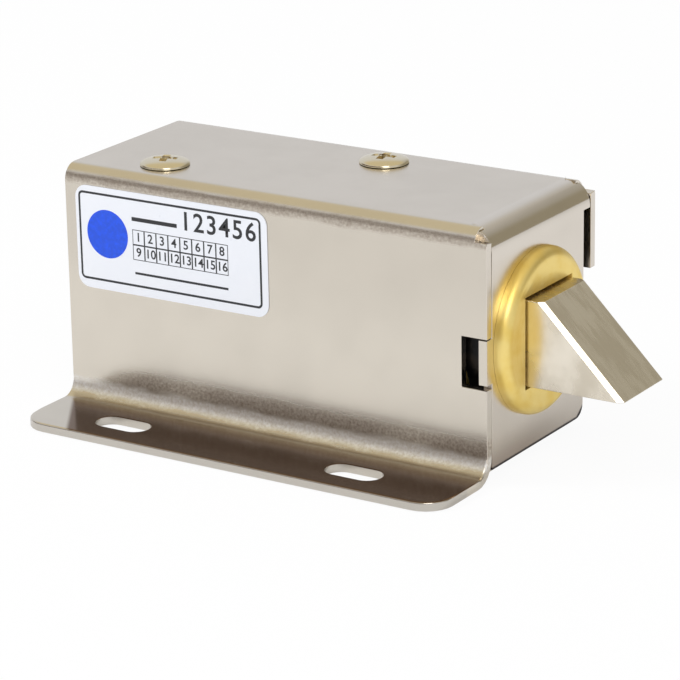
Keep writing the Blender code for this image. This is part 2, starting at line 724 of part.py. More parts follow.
def bush_washer(finish):
    """A flat washer behind the bolt-end plate."""
    inner = NUT_BORE / 2
    end = RIGHT_IN - SEAT_GAP
    start = end - WASHER_THICKNESS
    outer = NUT_DIAMETER / 2
    profile = [(start, inner), (start, outer), (end, outer), (end, inner)]
    return turned("bush_washer", profile, finish)


def bush_nut(finish):
    """A thin ring nut with two slots for a pin spanner."""
    inner = NUT_BORE / 2
    outer = NUT_DIAMETER / 2
    end = RIGHT_IN - 2 * SEAT_GAP - WASHER_THICKNESS
    start = end - NUT_THICKNESS
    profile = [(start, inner), (start, outer), (end, outer), (end, inner)]
    made = turned("bush_nut", profile, finish)
    cut(made, block(
        "nut_slots", (start - SHEET, AXIS_Y - NUT_SLOT / 2, AXIS_Z - NUT_DIAMETER),
        (start + NUT_THICKNESS / 2, AXIS_Y + NUT_SLOT / 2, AXIS_Z + NUT_DIAMETER),
    ))
    return made


def pan_screw(name, diameter, head, head_height, length, along, place, finish):
    """A screw with a low domed head, standing on the origin with its shank going down."""
    shank = diameter / 2
    rim = head / 2
    tip = shank / 3
    dome = (rim ** 2 + head_height ** 2) / (2 * head_height)
    crown = [(0, rim)]
    for i in range(1, 5):
        radius = rim * (1 - i / 5)
        crown.append((head_height - dome + math.sqrt(dome ** 2 - radius ** 2), radius))
    profile = [(-length, 0), (-length, shank - tip), (tip - length, shank), (0, shank)]
    profile += crown + [(head_height, 0)]
    return turned(name, profile, finish, SMALL_STEPS, along, place)


def label(finish):
    """A thin sticker with rounded corners on the front wall."""
    radius = LABEL_CORNER_RADIUS
    x0 = LEFT + LABEL_FROM_END
    x1 = x0 + LABEL_LENGTH
    z1 = TOP - TOP_BEND_RADIUS - LABEL_BELOW_BEND
    z0 = z1 - LABEL_HEIGHT
    outline = arc((x1 - radius, z1 - radius), radius, 0, 90)
    outline += arc((x0 + radius, z1 - radius), radius, 90, 180)
    outline += arc((x0 + radius, z0 + radius), radius, 180, 270)
    outline += arc((x1 - radius, z0 + radius), radius, 270, 360)
    body = prism(outline, 0, LABEL_THICKNESS)
    upright = Matrix.Rotation(math.pi / 2, 3, "X")
    bmesh.ops.rotate(body, verts=body.verts, cent=(0, 0, 0), matrix=upright)
    return to_object(body, "label", finish, (0, FRONT - SEAT_GAP / 2, 0))


def cable_grommet(finish):
    """A rubber ring that grips the edge of the inlet hole in the cover."""
    bore = GROMMET_BORE / 2
    neck = GROMMET_NECK / 2
    rim = GROMMET_RIM / 2
    outside = -SEAT_GAP
    inside = COVER_SHEET + SEAT_GAP
    thick = GROMMET_RIM_THICKNESS
    edge = thick / 3
    profile = [
        (outside - thick, bore),
        (outside - thick, rim - edge),
        (outside - thick + edge, rim),
        (outside, rim),
        (outside, neck),
        (inside, neck),
        (inside, rim),
        (inside + thick, rim - edge),
        (inside + thick, bore),
    ]
    place = (COVER_LEFT, AXIS_Y, GROMMET_HEIGHT)
    return turned("cable_grommet", profile, finish, SMALL_STEPS, "X", place)


def build():
    for old in list(bpy.data.objects):
        bpy.data.objects.remove(old)

    nickel = material("nickel_plate", (0.66, 0.62, 0.56), 0.25, 1.0)
    steel = material("bright_steel", (0.60, 0.58, 0.55), 0.3, 1.0)
    dark_steel = material("dark_steel", (0.12, 0.12, 0.12), 0.45, 1.0)
    brass = material("brass", (0.80, 0.58, 0.22), 0.28, 1.0)
    copper = material("copper_wire", (0.72, 0.32, 0.16), 0.4, 1.0)
    plastic = material("black_plastic", (0.03, 0.03, 0.03), 0.5, 0.0)
    tape = material("yellow_tape", (0.75, 0.58, 0.12), 0.5, 0.0)
    rubber = material("rubber", (0.02, 0.02, 0.02), 0.7, 0.0)
    paper = material("label_white", (0.86, 0.87, 0.88), 0.4, 0.0)

    case_shell(nickel)
    rear_cover(nickel)
    label(paper)
    through_yoke = SHEET + YOKE_THICKNESS + 2 * SEAT_GAP + TOP_SCREW_TIP
    for side, (x, y) in top_screw_places().items():
        pan_screw(
            "top_screw_" + side, TOP_SCREW_DIAMETER, TOP_SCREW_HEAD, TOP_SCREW_HEAD_HEIGHT,
            through_yoke, "Z", (x, y, TOP + SEAT_GAP), nickel,
        )
    through_cover = SHEET + COVER_SHEET + SEAT_GAP + CLEARANCE + COVER_SCREW_TIP
    for side, (x, z) in cover_screw_places().items():
        pan_screw(
            "cover_screw_" + side, COVER_SCREW_DIAMETER, COVER_SCREW_HEAD, COVER_SCREW_HEAD_HEIGHT,
            through_cover, "Y", (x, REAR + SEAT_GAP, z), nickel,
        )
    solenoid_yoke(steel)
    fixed_core(steel)
    coil_bobbin(plastic)
    coil_sleeve("coil_winding", WINDING_BORE, WINDING_RADIUS, copper)
    coil_sleeve("coil_tape", TAPE_BORE, TAPE_RADIUS, tape)
    return_spring(steel)
    bolt_bush(brass)
    bush_washer(dark_steel)
    bush_nut(dark_steel)
    cable_grommet(rubber)

    # What slides with the bolt hangs on an empty on the bolt's axis
    slide = bpy.data.objects.new("bolt_slide", None)
    slide.location = (0, AXIS_Y, AXIS_Z)
    bpy.context.scene.collection.objects.link(slide)
    for moving in (latch_bolt(steel), plunger(steel), bolt_pin(dark_steel)):
        moving.parent = slide
        moving.location -= slide.location


build()
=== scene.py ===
# %% [markdown]
# # A solenoid lock, dressed for the camera
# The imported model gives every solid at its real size. This lesson adds what the solids leave
# plain: finishes made of nodes, screws with a cross recess, a printed label, broken sheet edges
# and a spring of round wire. The frame comes first, because everything else is placed by it.

# %% Load the frame
import math

import bmesh
import bpy
from mathutils import Matrix, Vector


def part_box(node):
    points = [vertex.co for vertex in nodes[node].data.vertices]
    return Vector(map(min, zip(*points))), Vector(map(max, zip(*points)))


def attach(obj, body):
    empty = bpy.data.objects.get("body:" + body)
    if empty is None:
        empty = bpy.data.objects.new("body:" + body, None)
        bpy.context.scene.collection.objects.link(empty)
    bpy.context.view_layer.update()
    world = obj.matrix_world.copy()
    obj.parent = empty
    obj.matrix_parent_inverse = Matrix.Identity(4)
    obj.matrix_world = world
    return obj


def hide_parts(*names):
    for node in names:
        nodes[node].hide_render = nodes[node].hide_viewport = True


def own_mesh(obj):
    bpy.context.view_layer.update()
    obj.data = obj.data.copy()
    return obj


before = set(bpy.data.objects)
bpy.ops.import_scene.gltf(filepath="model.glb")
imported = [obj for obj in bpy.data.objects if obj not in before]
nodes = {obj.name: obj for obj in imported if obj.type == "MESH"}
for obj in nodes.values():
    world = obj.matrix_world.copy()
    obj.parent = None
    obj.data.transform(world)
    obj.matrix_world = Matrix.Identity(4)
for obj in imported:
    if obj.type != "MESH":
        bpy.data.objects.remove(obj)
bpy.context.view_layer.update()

# %% [markdown]
# Sizes are written in millimetres and turned into metres by one constant. The places that many
# pieces share are read from the solids' boxes: the case, the label, and the axis of the bolt. The
# label lies a little off the front wall, and that gap gives the wall's own place.

# %% Shared places
MM = 0.001
SHEET = 1.35 * MM
TOP_BEND = 2.4 * MM
FOOT_BEND = 2.4 * MM
LABEL_GAP = 0.05 * MM

case_low, case_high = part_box("case_shell")
bush_low, bush_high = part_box("bolt_bush")
label_low, label_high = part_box("label")
axis_y = (bush_low.y + bush_high.y) / 2
axis_z = (bush_low.z + bush_high.z) / 2
wall_y = label_high.y + LABEL_GAP
print("bolt axis in mm: y %.2f z %.2f" % (axis_y / MM, axis_z / MM))

# %% [markdown]
# The photograph was taken with a long lens, so its straight edges hardly converge. The camera was
# fitted to those edges: it stands 488 mm from a point inside the case, 33 degrees round towards
# the bolt and 18 degrees up, and it was held one degree off level. Its axes are built from those
# angles, without any shift of the lens.

# %% Camera
AZIMUTH = math.radians(32.762)
ELEVATION = math.radians(18.349)
ROLL = math.radians(1.0)
DISTANCE = 488.047 * MM
AIM = Vector((6.583, 17.895, 13.548)) * MM
FOCAL_PIXELS = 3341.5

towards_camera = Vector((
    math.sin(AZIMUTH) * math.cos(ELEVATION),
    -math.cos(AZIMUTH) * math.cos(ELEVATION),
    math.sin(ELEVATION),
))
level_right = Vector((math.cos(AZIMUTH), math.sin(AZIMUTH), 0))
level_up = towards_camera.cross(level_right)
camera_right = level_right * math.cos(ROLL) - level_up * math.sin(ROLL)
camera_up = level_up * math.cos(ROLL) + level_right * math.sin(ROLL)

lens = bpy.data.cameras.new("camera")
lens.sensor_width = 36
lens.lens = FOCAL_PIXELS / 680 * 36
lens.clip_start = 0.02
lens.clip_end = 20
camera = bpy.data.objects.new("camera", lens)
bpy.context.scene.collection.objects.link(camera)
turn = Matrix((camera_right, camera_up, towards_camera)).transposed().to_4x4()
camera.matrix_world = Matrix.Translation(AIM + towards_camera * DISTANCE) @ turn
bpy.context.scene.camera = camera
print("lens in mm: %.1f" % lens.lens)

# %% [markdown]
# Shader maths is easier to read as sums than as a web of nodes. This class holds one output
# socket. Its operators add Math nodes, and its one general method adds any other node: the type,
# then the settings, then what goes into the sockets.

# %% Wires that write nodes
class Wire:
    """One output socket of a node tree, which can be used in sums."""

    def __init__(self, tree, socket):
        self.tree = tree
        self.socket = socket

    def node(self, kind, settings, sockets, output=0):
        """Add a node and give one of its outputs as a wire."""
        made = self.tree.nodes.new(kind)
        for name, value in settings.items():
            setattr(made, name, value)
        for name, value in sockets.items():
            if isinstance(value, Wire):
                self.tree.links.new(value.socket, made.inputs[name])
            else:
                made.inputs[name].default_value = value
        return Wire(self.tree, made.outputs[output])

    def maths(self, operation, *values):
        return self.node("ShaderNodeMath", {"operation": operation}, dict(enumerate(values)))

    def __add__(self, other):
        return self.maths("ADD", self, other)

    def __sub__(self, other):
        return self.maths("SUBTRACT", self, other)

    def __rsub__(self, other):
        return self.maths("SUBTRACT", other, self)

    def __mul__(self, other):
        return self.maths("MULTIPLY", self, other)

    def __truediv__(self, other):
        return self.maths("DIVIDE", self, other)

    def step(self, low, high):
        """0 below low, 1 above high, smooth between."""
        return self.node(
            "ShaderNodeMapRange", {"interpolation_type": "SMOOTHSTEP"},
            {"Value": self, "From Min": low, "From Max": high},
        )

    def part(self, index):
        """One number of a vector: 0 for x, 1 for y, 2 for z."""
        return self.node("ShaderNodeSeparateXYZ", {}, {"Vector": self}, index)

    def stretched(self, x, y, z):
        """The vector times a number for each axis."""
        return self.node(
            "ShaderNodeVectorMath", {"operation": "MULTIPLY"}, {0: self, 1: (x, y, z)},
        )

    def moved(self, x, y, z):
        """The vector with a place subtracted, so that place becomes the centre."""
        return self.node(
            "ShaderNodeVectorMath", {"operation": "SUBTRACT"}, {0: self, 1: (x, y, z)},
        )

    def noise(self, scale, detail=2.0, roughness=0.5):
        """Soft random numbers about 0.5, from a vector."""
        sockets = {"Vector": self, "Scale": scale, "Detail": detail, "Roughness": roughness}
        return self.node("ShaderNodeTexNoise", {}, sockets)

    def line_noise(self, scale, detail=2.0):
        """Soft random numbers along one number, for rings and lines."""
        return self.node(
            "ShaderNodeTexNoise", {"noise_dimensions": "1D"},
            {"W": self, "Scale": scale, "Detail": detail},
        )

    def blend(self, first, second):
        """A colour between two, with this wire as the share of the second."""
        return self.node(
            "ShaderNodeMix", {"data_type": "RGBA"}, {0: self, 6: first, 7: second}, 2,
        )

    def bump(self):
        """A normal from a height in metres."""
        return self.node("ShaderNodeBump", {}, {"Height": self, "Distance": 1.0})


print("wires ready")

# %% [markdown]
# Every finish is one Principled shader. It is started bare, with a wire for the place on the
# object, and at the end its sockets are filled with plain values or with wires.

# %% Start and fill a finish
def colour(red, green, blue):
    """A linear colour with full alpha."""
    return (red, green, blue, 1.0)


def new_finish(name):
    """A bare Principled material, and a wire that carries the Object coordinates."""
    made = bpy.data.materials.new(name)
    made.use_nodes = True
    coords = made.node_tree.nodes.new("ShaderNodeTexCoord")
    return made, Wire(made.node_tree, coords.outputs["Object"])


def set_finish(made, sockets):
    """Fill the Principled shader's sockets with numbers, colours or wires."""
    shader = made.node_tree.nodes["Principled BSDF"]
    for name, value in sockets.items():
        if isinstance(value, Wire):
            made.node_tree.links.new(value.socket, shader.inputs[name])
        else:
            shader.inputs[name].default_value = value
    return made


print("finish helpers ready")

# %% [markdown]
# The case is folded from sheet steel that was rolled, then nickel plated. Nickel is a slightly
# warm metal, and this plating is satin: it shows soft, blurred reflections. The sheet isn't quite
# flat, so the blur wanders a little; that is a low bump with a wavelength of some 20 mm. The
# rolling left fine lines along X, and the plating is duller in some places than in others.

# %% Nickel plated sheet
def nickel_parts(place, tint, polish, wander):
    """Colour, roughness and height of satin nickel at a place."""
    clouds = place.noise(150, 3.0)
    patches = place.noise(42, 2.0)
    rolled = place.stretched(45, 1500, 1500).noise(1.0, 3.0)
    speck = place.noise(5200, 2.0)
    dark = tuple(0.955 * part for part in tint[:3]) + (1.0,)
    shade = (clouds * 0.5 + patches * 0.5).step(0.36, 0.64).blend(tint, dark)
    rough = (clouds - 0.5) * 0.05 + (speck - 0.5) * 0.04 + polish
    height = patches * wander + rolled * 0.0000005 + speck * 0.0000003
    return shade, rough, height


def nickel_finish(name, tint, polish, wander):
    made, place = new_finish(name)
    shade, rough, height = nickel_parts(place, tint, polish, wander)
    return set_finish(made, {
        "Base Color": shade, "Metallic": 1.0, "Roughness": rough, "Normal": height.bump(),
    })


cover_nickel = nickel_finish("cover_nickel", colour(0.66, 0.61, 0.545), 0.28, 0.000018)
print("made", cover_nickel.name)

# %% [markdown]
# The press leaves its marks on the front of the case. Where the sheet was stretched over the
# tool its skin turned coarse, like orange peel: a band above the foot bend and a thinner one
# below the top bend. Each band is a range of heights whose edges are made ragged by noise. Over
# these bands a dark brown reflection is painted, and over a lower band a pale one. The flange is
# painted with a dark brown reflection, except in its left corner, beyond a line from the wall's
# corner towards the camera. Its sheared edge is greyer, and darker as painted shade. The wall is
# painted a little darker towards its top, as shade. Each of these places is a mask that runs
# from 0 to 1.

# %% Places on the front
FOOT_BAND = (3.9 * MM, 6.3 * MM)
LOW_BAND = (2.1 * MM, 3.9 * MM)
TOP_BAND = (34.5 * MM, 35.9 * MM)
FOOT_RAGGED = 2.0 * MM
TOP_RAGGED = 0.9 * MM


def band(height, low, high, soft):
    """1 between two heights, 0 outside, soft edges."""
    return height.step(low - soft, low + soft) * (1 - height.step(high - soft, high + soft))


def front_masks(place):
    """The front's places by name."""
    ragged = place.stretched(0.35, 1, 1).noise(520, 3.0, 0.6) - 0.5
    from_end = place.part(0) - case_low.x
    ahead = place.part(1) - wall_y
    up = place.part(2)
    loose = up + ragged * FOOT_RAGGED
    upper_skin = up.step(SHEET - 0.20 * MM, SHEET - 0.05 * MM)
    # the line from the wall's left corner towards the camera; the flange's painted reflection lies
    # beyond it
    past_corner_sightline = (from_end + ahead * math.tan(AZIMUTH)).step(-0.4 * MM, 0.6 * MM)
    return {
        "foot": band(loose, *FOOT_BAND, 0.7 * MM) * from_end.step(6 * MM, 13 * MM),
        # painted light: a pale reflection on the lower band, which is also rougher
        "low": band(loose, *LOW_BAND, 0.5 * MM),
        "top": band(up + ragged * TOP_RAGGED, *TOP_BAND, 0.35 * MM),
        "bend": up.step(34.7 * MM, 36.8 * MM),
        # painted shade: the wall darker towards its top
        "upper": up.step(14 * MM, 33 * MM) * (1 - up.step(34.2 * MM, 35.4 * MM)),
        # painted reflection: the flange's dark brown tint stands for the dark wall and room it
        # mirrors
        "flange": (1 - ahead.step(-3.9 * MM, 0.1 * MM)) * upper_skin * past_corner_sightline,
        # the flange's sheared front edge: greyer, and darker as painted shade
        "sheared": (1 - ahead.step(-6 * MM, -5 * MM)) * (1 - upper_skin),
    }


print("bands in mm:", [round(height / MM, 2) for height in FOOT_BAND + LOW_BAND + TOP_BAND])

# %% [markdown]
# The finish starts as the plating and lays one tint after another over it, each with its mask.
# The tints are painted light and shade: a top painted darker, dark reflections in the two bands
# and on the flange, a pale reflection in the low band and a sheared edge painted darker. Inside
# the bands it is also rougher, and fine grains rise from it. The top bend is a little tighter
# than a true arc; a wide, low bump adds that.

# %% Front finish with press marks and painted reflections
BEND_SWELL = 0.22 * MM
GRAIN_HEIGHT = 0.000022


def front_finish():
    made, place = new_finish("front_nickel")
    tint = colour(0.70, 0.65, 0.568)
    shade, rough, height = nickel_parts(place, tint, 0.20, 0.000014)
    mask = front_masks(place)
    grains = place.noise(2300, 2.0, 0.65)
    spots = (grains - 0.5) * 2
    marks = mask["foot"] + mask["top"]
    # painted reflection: the press bands are darkened to stand for the flange and the dark room
    # mirrored in the wall; their coarse skin is only roughness and bumps
    darker_tone = (mask["foot"] * 0.34 + mask["top"] * 0.26) * (spots * 2.2 + 1)
    for share, over in (
        # painted shade towards the top
        (mask["upper"] * 0.22, colour(0.40, 0.36, 0.31)),
        # painted reflection in the two press bands
        (darker_tone, colour(0.23, 0.155, 0.105)),
        # painted reflection on the flange
        (mask["flange"] * (spots * 0.05 + 0.95), colour(0.11, 0.05, 0.018)),
        # painted light in the low band
        (mask["low"] * (spots + 0.66), colour(0.93, 0.92, 0.90)),
        # sheared edge greyer, and darker as painted shade
        (mask["sheared"] * 0.45, colour(0.42, 0.41, 0.40)),
    ):
        shade = share.blend(shade, over)
    worn = rough + marks * 0.20 + mask["low"] * 0.28 - mask["flange"] * 0.05
    coarse = grains * (marks + mask["low"]) * GRAIN_HEIGHT
    return set_finish(made, {
        "Base Color": shade,
        "Metallic": 1.0,
        "Roughness": worn + spots * marks * 0.10,
        "Normal": (height + coarse + mask["bend"] * BEND_SWELL).bump(),
    })


front_nickel = front_finish()
print("made", front_nickel.name)

# %% [markdown]
# The rest of the case has the same plating. Three things differ. The end bend was stretched
# smooth, so its reflections are crisper. Along the foot of the end plate a near-black shadow line
# is painted, which follows the plate's outline: a level edge and a slanting corner, so the finish
# takes the nearer of two lines. Above it a brown shade is painted, rising from the level edge and
# most of it on the front side; it stands for the shadowed table mirrored in the plate.

# %% Case finish with painted shade at the foot
PLATE_REAR = 27.96 * MM
SLANT_FROM = 1.75 * MM
LEVEL_FROM = 1.72 * MM
# the painted shadow line along the plate's foot, and the rise of the painted shade above it
SHADOW_LINE = (0.25 * MM, 0.58 * MM)
SHADE_RISE = (0.2 * MM, 5.6 * MM)


def case_finish():
    made, place = new_finish("case_nickel")
    shade, rough, height = nickel_parts(place, colour(0.725, 0.67, 0.595), 0.25, 0.000014)
    from_end = place.part(0) - case_high.x
    behind = place.part(1) - wall_y
    up = place.part(2)
    at_end = from_end.step(-4.4 * MM, -3.2 * MM) * behind.step(1.3 * MM, 1.4 * MM)
    bend = at_end * up.step(31.5 * MM, 33.2 * MM)
    level = up - LEVEL_FROM
    slant = (up - SLANT_FROM) * 0.81 - (behind - PLATE_REAR) * 0.59 - 1.05 * MM
    # painted shadow: a near-black line along the plate's foot, following the nearer of the level
    # and the slanting edge
    rim = (1 - level.maths("MINIMUM", level, slant).step(*SHADOW_LINE)) * at_end
    # painted shade: darker towards the level foot, mostly on the front side, for the shadowed
    # table in reflection
    forward = 1 - behind.step(8 * MM, 27 * MM) * 0.75
    low_shade = (1 - level.step(*SHADE_RISE)) * at_end * forward * 0.74
    # painted shade rising from the foot
    shade = low_shade.blend(shade, colour(0.30, 0.24, 0.20))
    # painted shadow line at the foot
    shade = rim.blend(shade, colour(0.03, 0.025, 0.028))
    return set_finish(made, {
        "Base Color": shade,
        "Metallic": 1.0,
        "Roughness": rough - bend * 0.13,
        "Normal": height.bump(),
    })


case_nickel = case_finish()
print("made", case_nickel.name)

# %% [markdown]
# The bush is turned from brass. A lathe tool leaves fine rings round the axis, so the pattern
# needs the distance from that axis. It is measured with Object coordinates moved to the axis.

# %% Turned metals
def from_axis(place):
    """The distance of a point from the bolt's axis."""
    centred = place.moved(0, axis_y, axis_z).stretched(0, 1, 1)
    return centred.node("ShaderNodeVectorMath", {"operation": "LENGTH"}, {0: centred}, 1)


def turned_finish(name, bright, darker_tone, polish, ring_height):
    made, place = new_finish(name)
    radius = from_axis(place)
    rings = (radius + place.part(0)).line_noise(3600, 1.0)
    clouds = place.noise(260, 3.0)
    tone = (clouds * 0.88 + rings * 0.12).step(0.38, 0.66)
    return set_finish(made, {
        "Base Color": tone.blend(bright, darker_tone),
        "Metallic": 1.0,
        "Roughness": (clouds - 0.5) * 0.12 + (rings - 0.5) * 0.06 + polish,
        "Normal": (rings * ring_height + clouds * 0.000004).bump(),
    })


bush_brass = turned_finish(
    "bush_brass", colour(0.93, 0.73, 0.26), colour(0.88, 0.65, 0.175), 0.41, 0.0000005,
)
turned_steel = turned_finish(
    "turned_steel", colour(0.58, 0.56, 0.53), colour(0.50, 0.48, 0.45), 0.26, 0.0000018,
)
print("turned finishes:", bush_brass.name, turned_steel.name)

# %% [markdown]
# The bolt is sintered steel that was ground on its ramp. Grinding draws long scratches in one
# direction, so the noise is stretched down the ramp and stays fine across it.

# %% Ground steel
def ground_finish(name, bright, darker_tone, polish, along):
    made, place = new_finish(name)
    scratches = place.stretched(*along).noise(1.0, 4.0, 0.6)
    clouds = place.stretched(*(part ** 0.5 * 20 for part in along)).noise(1.0, 3.0)
    pores = place.noise(3600, 2.0)
    tone = (scratches * 0.45 + clouds * 0.55).step(0.40, 0.60)
    return set_finish(made, {
        "Base Color": tone.blend(bright, darker_tone),
        "Metallic": 1.0,
        "Roughness": (scratches - 0.5) * 0.16 + (clouds - 0.5) * 0.16 + polish,
        "Normal": (scratches * 0.0000020 + pores * 0.0000006).bump(),
    })


bolt_steel = ground_finish(
    "bolt_steel", colour(0.84, 0.78, 0.67), colour(0.70, 0.64, 0.53), 0.27, (90, 900, 90),
)
yoke_steel = ground_finish(
    "yoke_steel", colour(0.60, 0.59, 0.57), colour(0.50, 0.49, 0.47), 0.30, (60, 1800, 1800),
)
print("ground finishes:", bolt_steel.name, yoke_steel.name)

# %% [markdown]
# Washer, nut and pin are blackened. Black oxide is thin, so a brownish metal shows through.

# %% Black oxide
def oxide_finish():
    made, place = new_finish("black_oxide")
    clouds = place.noise(420, 3.0)
    tone = clouds.step(0.35, 0.7)
    return set_finish(made, {
        "Base Color": tone.blend(colour(0.012, 0.012, 0.013), colour(0.034, 0.028, 0.024)),
        "Metallic": 0.85,
        "Roughness": (clouds - 0.5) * 0.2 + 0.38,
        "Normal": (place.noise(4200) * 0.000001).bump(),
    })


black_oxide = oxide_finish()
print("made", black_oxide.name)

# %% [markdown]
# The winding is enamelled copper wire, laid turn beside turn. At 0.3 mm a turn there are about a
# hundred turns in a layer, too many to model, so a rounded wave along the axis raises each turn
# and a little noise makes some turns darker than others. The tape over it is yellow polyester
# film, wound with an overlap whose edge runs round the coil.

# %% Coil finishes
TURN = 0.3 * MM
TAPE_LAP = 7.5 * MM


def winding_finish():
    made, place = new_finish("enamelled_copper")
    along = place.part(0)
    phase = along * (math.pi / TURN)
    wave = phase.maths("SINE", phase)
    crown = wave.maths("ABSOLUTE", wave)
    streak = along.line_noise(2600, 2.0).step(0.3, 0.7)
    cloud = place.noise(300)
    return set_finish(made, {
        "Base Color": streak.blend(colour(0.62, 0.24, 0.10), colour(0.42, 0.14, 0.055)),
        "Metallic": 0.9,
        "Roughness": cloud * 0.2 + 0.22,
        "Normal": (crown * (TURN / 3)).bump(),
    })


def tape_finish():
    made, place = new_finish("yellow_film")
    laps = place.part(0) / TAPE_LAP
    edge = laps.maths("FRACT", laps).step(0.0, 0.03)
    wrinkle = place.stretched(500, 90, 90).noise(1.0, 2.0)
    cloud = place.noise(160)
    tone = cloud.step(0.3, 0.7)
    return set_finish(made, {
        "Base Color": tone.blend(colour(0.80, 0.56, 0.07), colour(0.70, 0.46, 0.05)),
        "Roughness": cloud * 0.15 + 0.26,
        "Coat Weight": 0.3,
        "Normal": (edge * 0.00004 + wrinkle * 0.00002).bump(),
    })


enamelled_copper = winding_finish()
yellow_film = tape_finish()
print("made", enamelled_copper.name, yellow_film.name)

# %% [markdown]
# The spool is moulded from black nylon and the cable inlet is black rubber. Both are near black,
# so their surface does the work: the nylon has a fine spark-eroded grain and the rubber a dusty,
# matt bloom that lifts its colour in patches.

# %% Moulded plastic and rubber
def plastic_finish():
    made, place = new_finish("moulded_nylon")
    grain = place.noise(2600, 3.0)
    return set_finish(made, {
        "Base Color": grain.blend(colour(0.018, 0.018, 0.020), colour(0.032, 0.032, 0.034)),
        "Roughness": grain * 0.22 + 0.36,
        "Normal": (grain * 0.000010).bump(),
    })


def rubber_finish():
    made, place = new_finish("inlet_rubber")
    bloom = place.noise(500, 4.0).step(0.42, 0.75)
    pits = place.noise(3000, 2.0)
    return set_finish(made, {
        "Base Color": bloom.blend(colour(0.016, 0.016, 0.017), colour(0.045, 0.044, 0.042)),
        "Roughness": pits * 0.2 + 0.62,
        "Normal": (pits * 0.000012).bump(),
    })


moulded_nylon = plastic_finish()
inlet_rubber = rubber_finish()
print("made", moulded_nylon.name, inlet_rubber.name)

# %% [markdown]
# A solid whose shape is right stays as it is and only gets its finish. Every material slot of the
# imported mesh is filled, so nothing plain is left behind.

# %% Dress the solids that stay
def dress(node, finish):
    """Put a finish in every material slot of a CAD node."""
    mesh = nodes[node].data
    if not mesh.materials:
        mesh.materials.append(finish)
    for index in range(len(mesh.materials)):
        mesh.materials[index] = finish


for node, finish in {
    "solenoid_yoke": yoke_steel,
    "fixed_core": turned_steel,
    "plunger": turned_steel,
    "coil_bobbin": moulded_nylon,
    "coil_winding": enamelled_copper,
    "coil_tape": yellow_film,
    "bolt_pin": black_oxide,
    "bush_washer": black_oxide,
    "bush_nut": black_oxide,
    "cable_grommet": inlet_rubber,
}.items():
    dress(node, finish)
    print("dressed", node)

# %% [markdown]
# New pieces are shaped as by hand: add a primitive, go into edit mode, select by place, then
# extrude, inset or bevel, and come back. These helpers are the short moves between those steps.

# %% Short moves
def only(made):
    """Select one object and nothing else."""
    bpy.ops.object.select_all(action="DESELECT")
    made.select_set(True)
    bpy.context.view_layer.objects.active = made


def enter(everything=False):
    """Go into edit mode, with everything selected if asked."""
    bpy.ops.object.mode_set(mode="EDIT")
    if everything:
        bpy.ops.mesh.select_all(action="SELECT")


def leave():
    """Go back to object mode."""
    bpy.ops.object.mode_set(mode="OBJECT")


def named(name):
    """Name the object that was just added, and its mesh."""
    made = bpy.context.active_object
    made.name = name
    made.data.name = name
    return made


def apply_place():
    """Write the object's place, turn and size into its mesh."""
    bpy.ops.object.transform_apply(location=True, rotation=True, scale=True)


def smooth(made, degrees):
    """Shade smoothly wherever faces meet at less than an angle."""
    only(made)
    bpy.ops.object.shade_smooth_by_angle(angle=math.radians(degrees))


print("short moves ready")

# %% [markdown]
# Three moves are longer: to select the faces, edges or points that pass a test, to add a modifier
# and apply it, and to settle a finished piece, with its finish, its body and its material slot.

# %% Longer moves
def pick(made, kind, test):
    """In edit mode, select the vertices, edges or faces that pass a test."""
    bpy.ops.mesh.select_mode(type=kind)
    bpy.ops.mesh.select_all(action="DESELECT")
    shape = bmesh.from_edit_mesh(made.data)
    items = {"VERT": shape.verts, "EDGE": shape.edges, "FACE": shape.faces}[kind]
    chosen = 0
    for item in items:
        if test(item):
            item.select_set(True)
            chosen += 1
    shape.select_flush_mode()
    bmesh.update_edit_mesh(made.data)
    return chosen


def modify(made, kind, **settings):
    """Add a modifier, set it and apply it."""
    only(made)
    bpy.ops.object.modifier_add(type=kind)
    added = made.modifiers[-1]
    for name, value in settings.items():
        setattr(added, name, value)
    bpy.ops.object.modifier_apply(modifier=added.name)


def settle(made, finish, body):
    """Put the place into the mesh, then give finish, body and material slot."""
    only(made)
    apply_place()
    if finish:
        made.data.materials.clear()
        made.data.materials.append(finish)
    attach(made, body)
    print("made", made.name, len(made.data.polygons), "faces")


print("longer moves ready")

# %% [markdown]
# Sheared sheet has no perfectly sharp edge: the burr is tumbled off, and the thin rounding left
# behind catches a bright line of light. The solids have sharp edges, so the case and its cover
# are copied, merged back into clean faces, and given a rounding of a tenth of a millimetre.
# Weighted normals keep the large faces flat, so that only the rounding turns the light.

# %% Sheet metal with broken edges
def merged_copy(node, name):
    """A copy of a solid's mesh with its doubled points merged and flat faces joined."""
    made = bpy.data.objects.new(name, nodes[node].data.copy())
    bpy.context.scene.collection.objects.link(made)
    only(made)
    enter(everything=True)
    bpy.ops.mesh.remove_doubles(threshold=0.000002)
    bpy.ops.mesh.customdata_custom_splitnormals_clear()
    bpy.ops.mesh.dissolve_limited(angle_limit=math.radians(0.5))
    leave()
    return made


def broken_edges(made, node, width, segments, finish, body):
    """Round the sharp edges and let the piece take the solid's place."""
    modify(
        made, "BEVEL", width=width, segments=segments, limit_method="ANGLE",
        angle_limit=math.radians(40), use_clamp_overlap=False,
    )
    smooth(made, 40)
    modify(made, "WEIGHTED_NORMAL", keep_sharp=True, weight=100)
    settle(made, finish, body)
    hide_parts(node)


print("edge helpers ready")

# %% [markdown]
# At the bolt end the top bend and the foot bend stop in a tip that was squeezed round. The edges
# along the two arcs get a wide bevel, so that each tip catches the lamp. An edge belongs to an arc
# when both its ends lie on that circle, on the outer or upper skin of the bend.

# %% Case sheet and its two tips
TIP_ROUNDING = 0.45 * MM

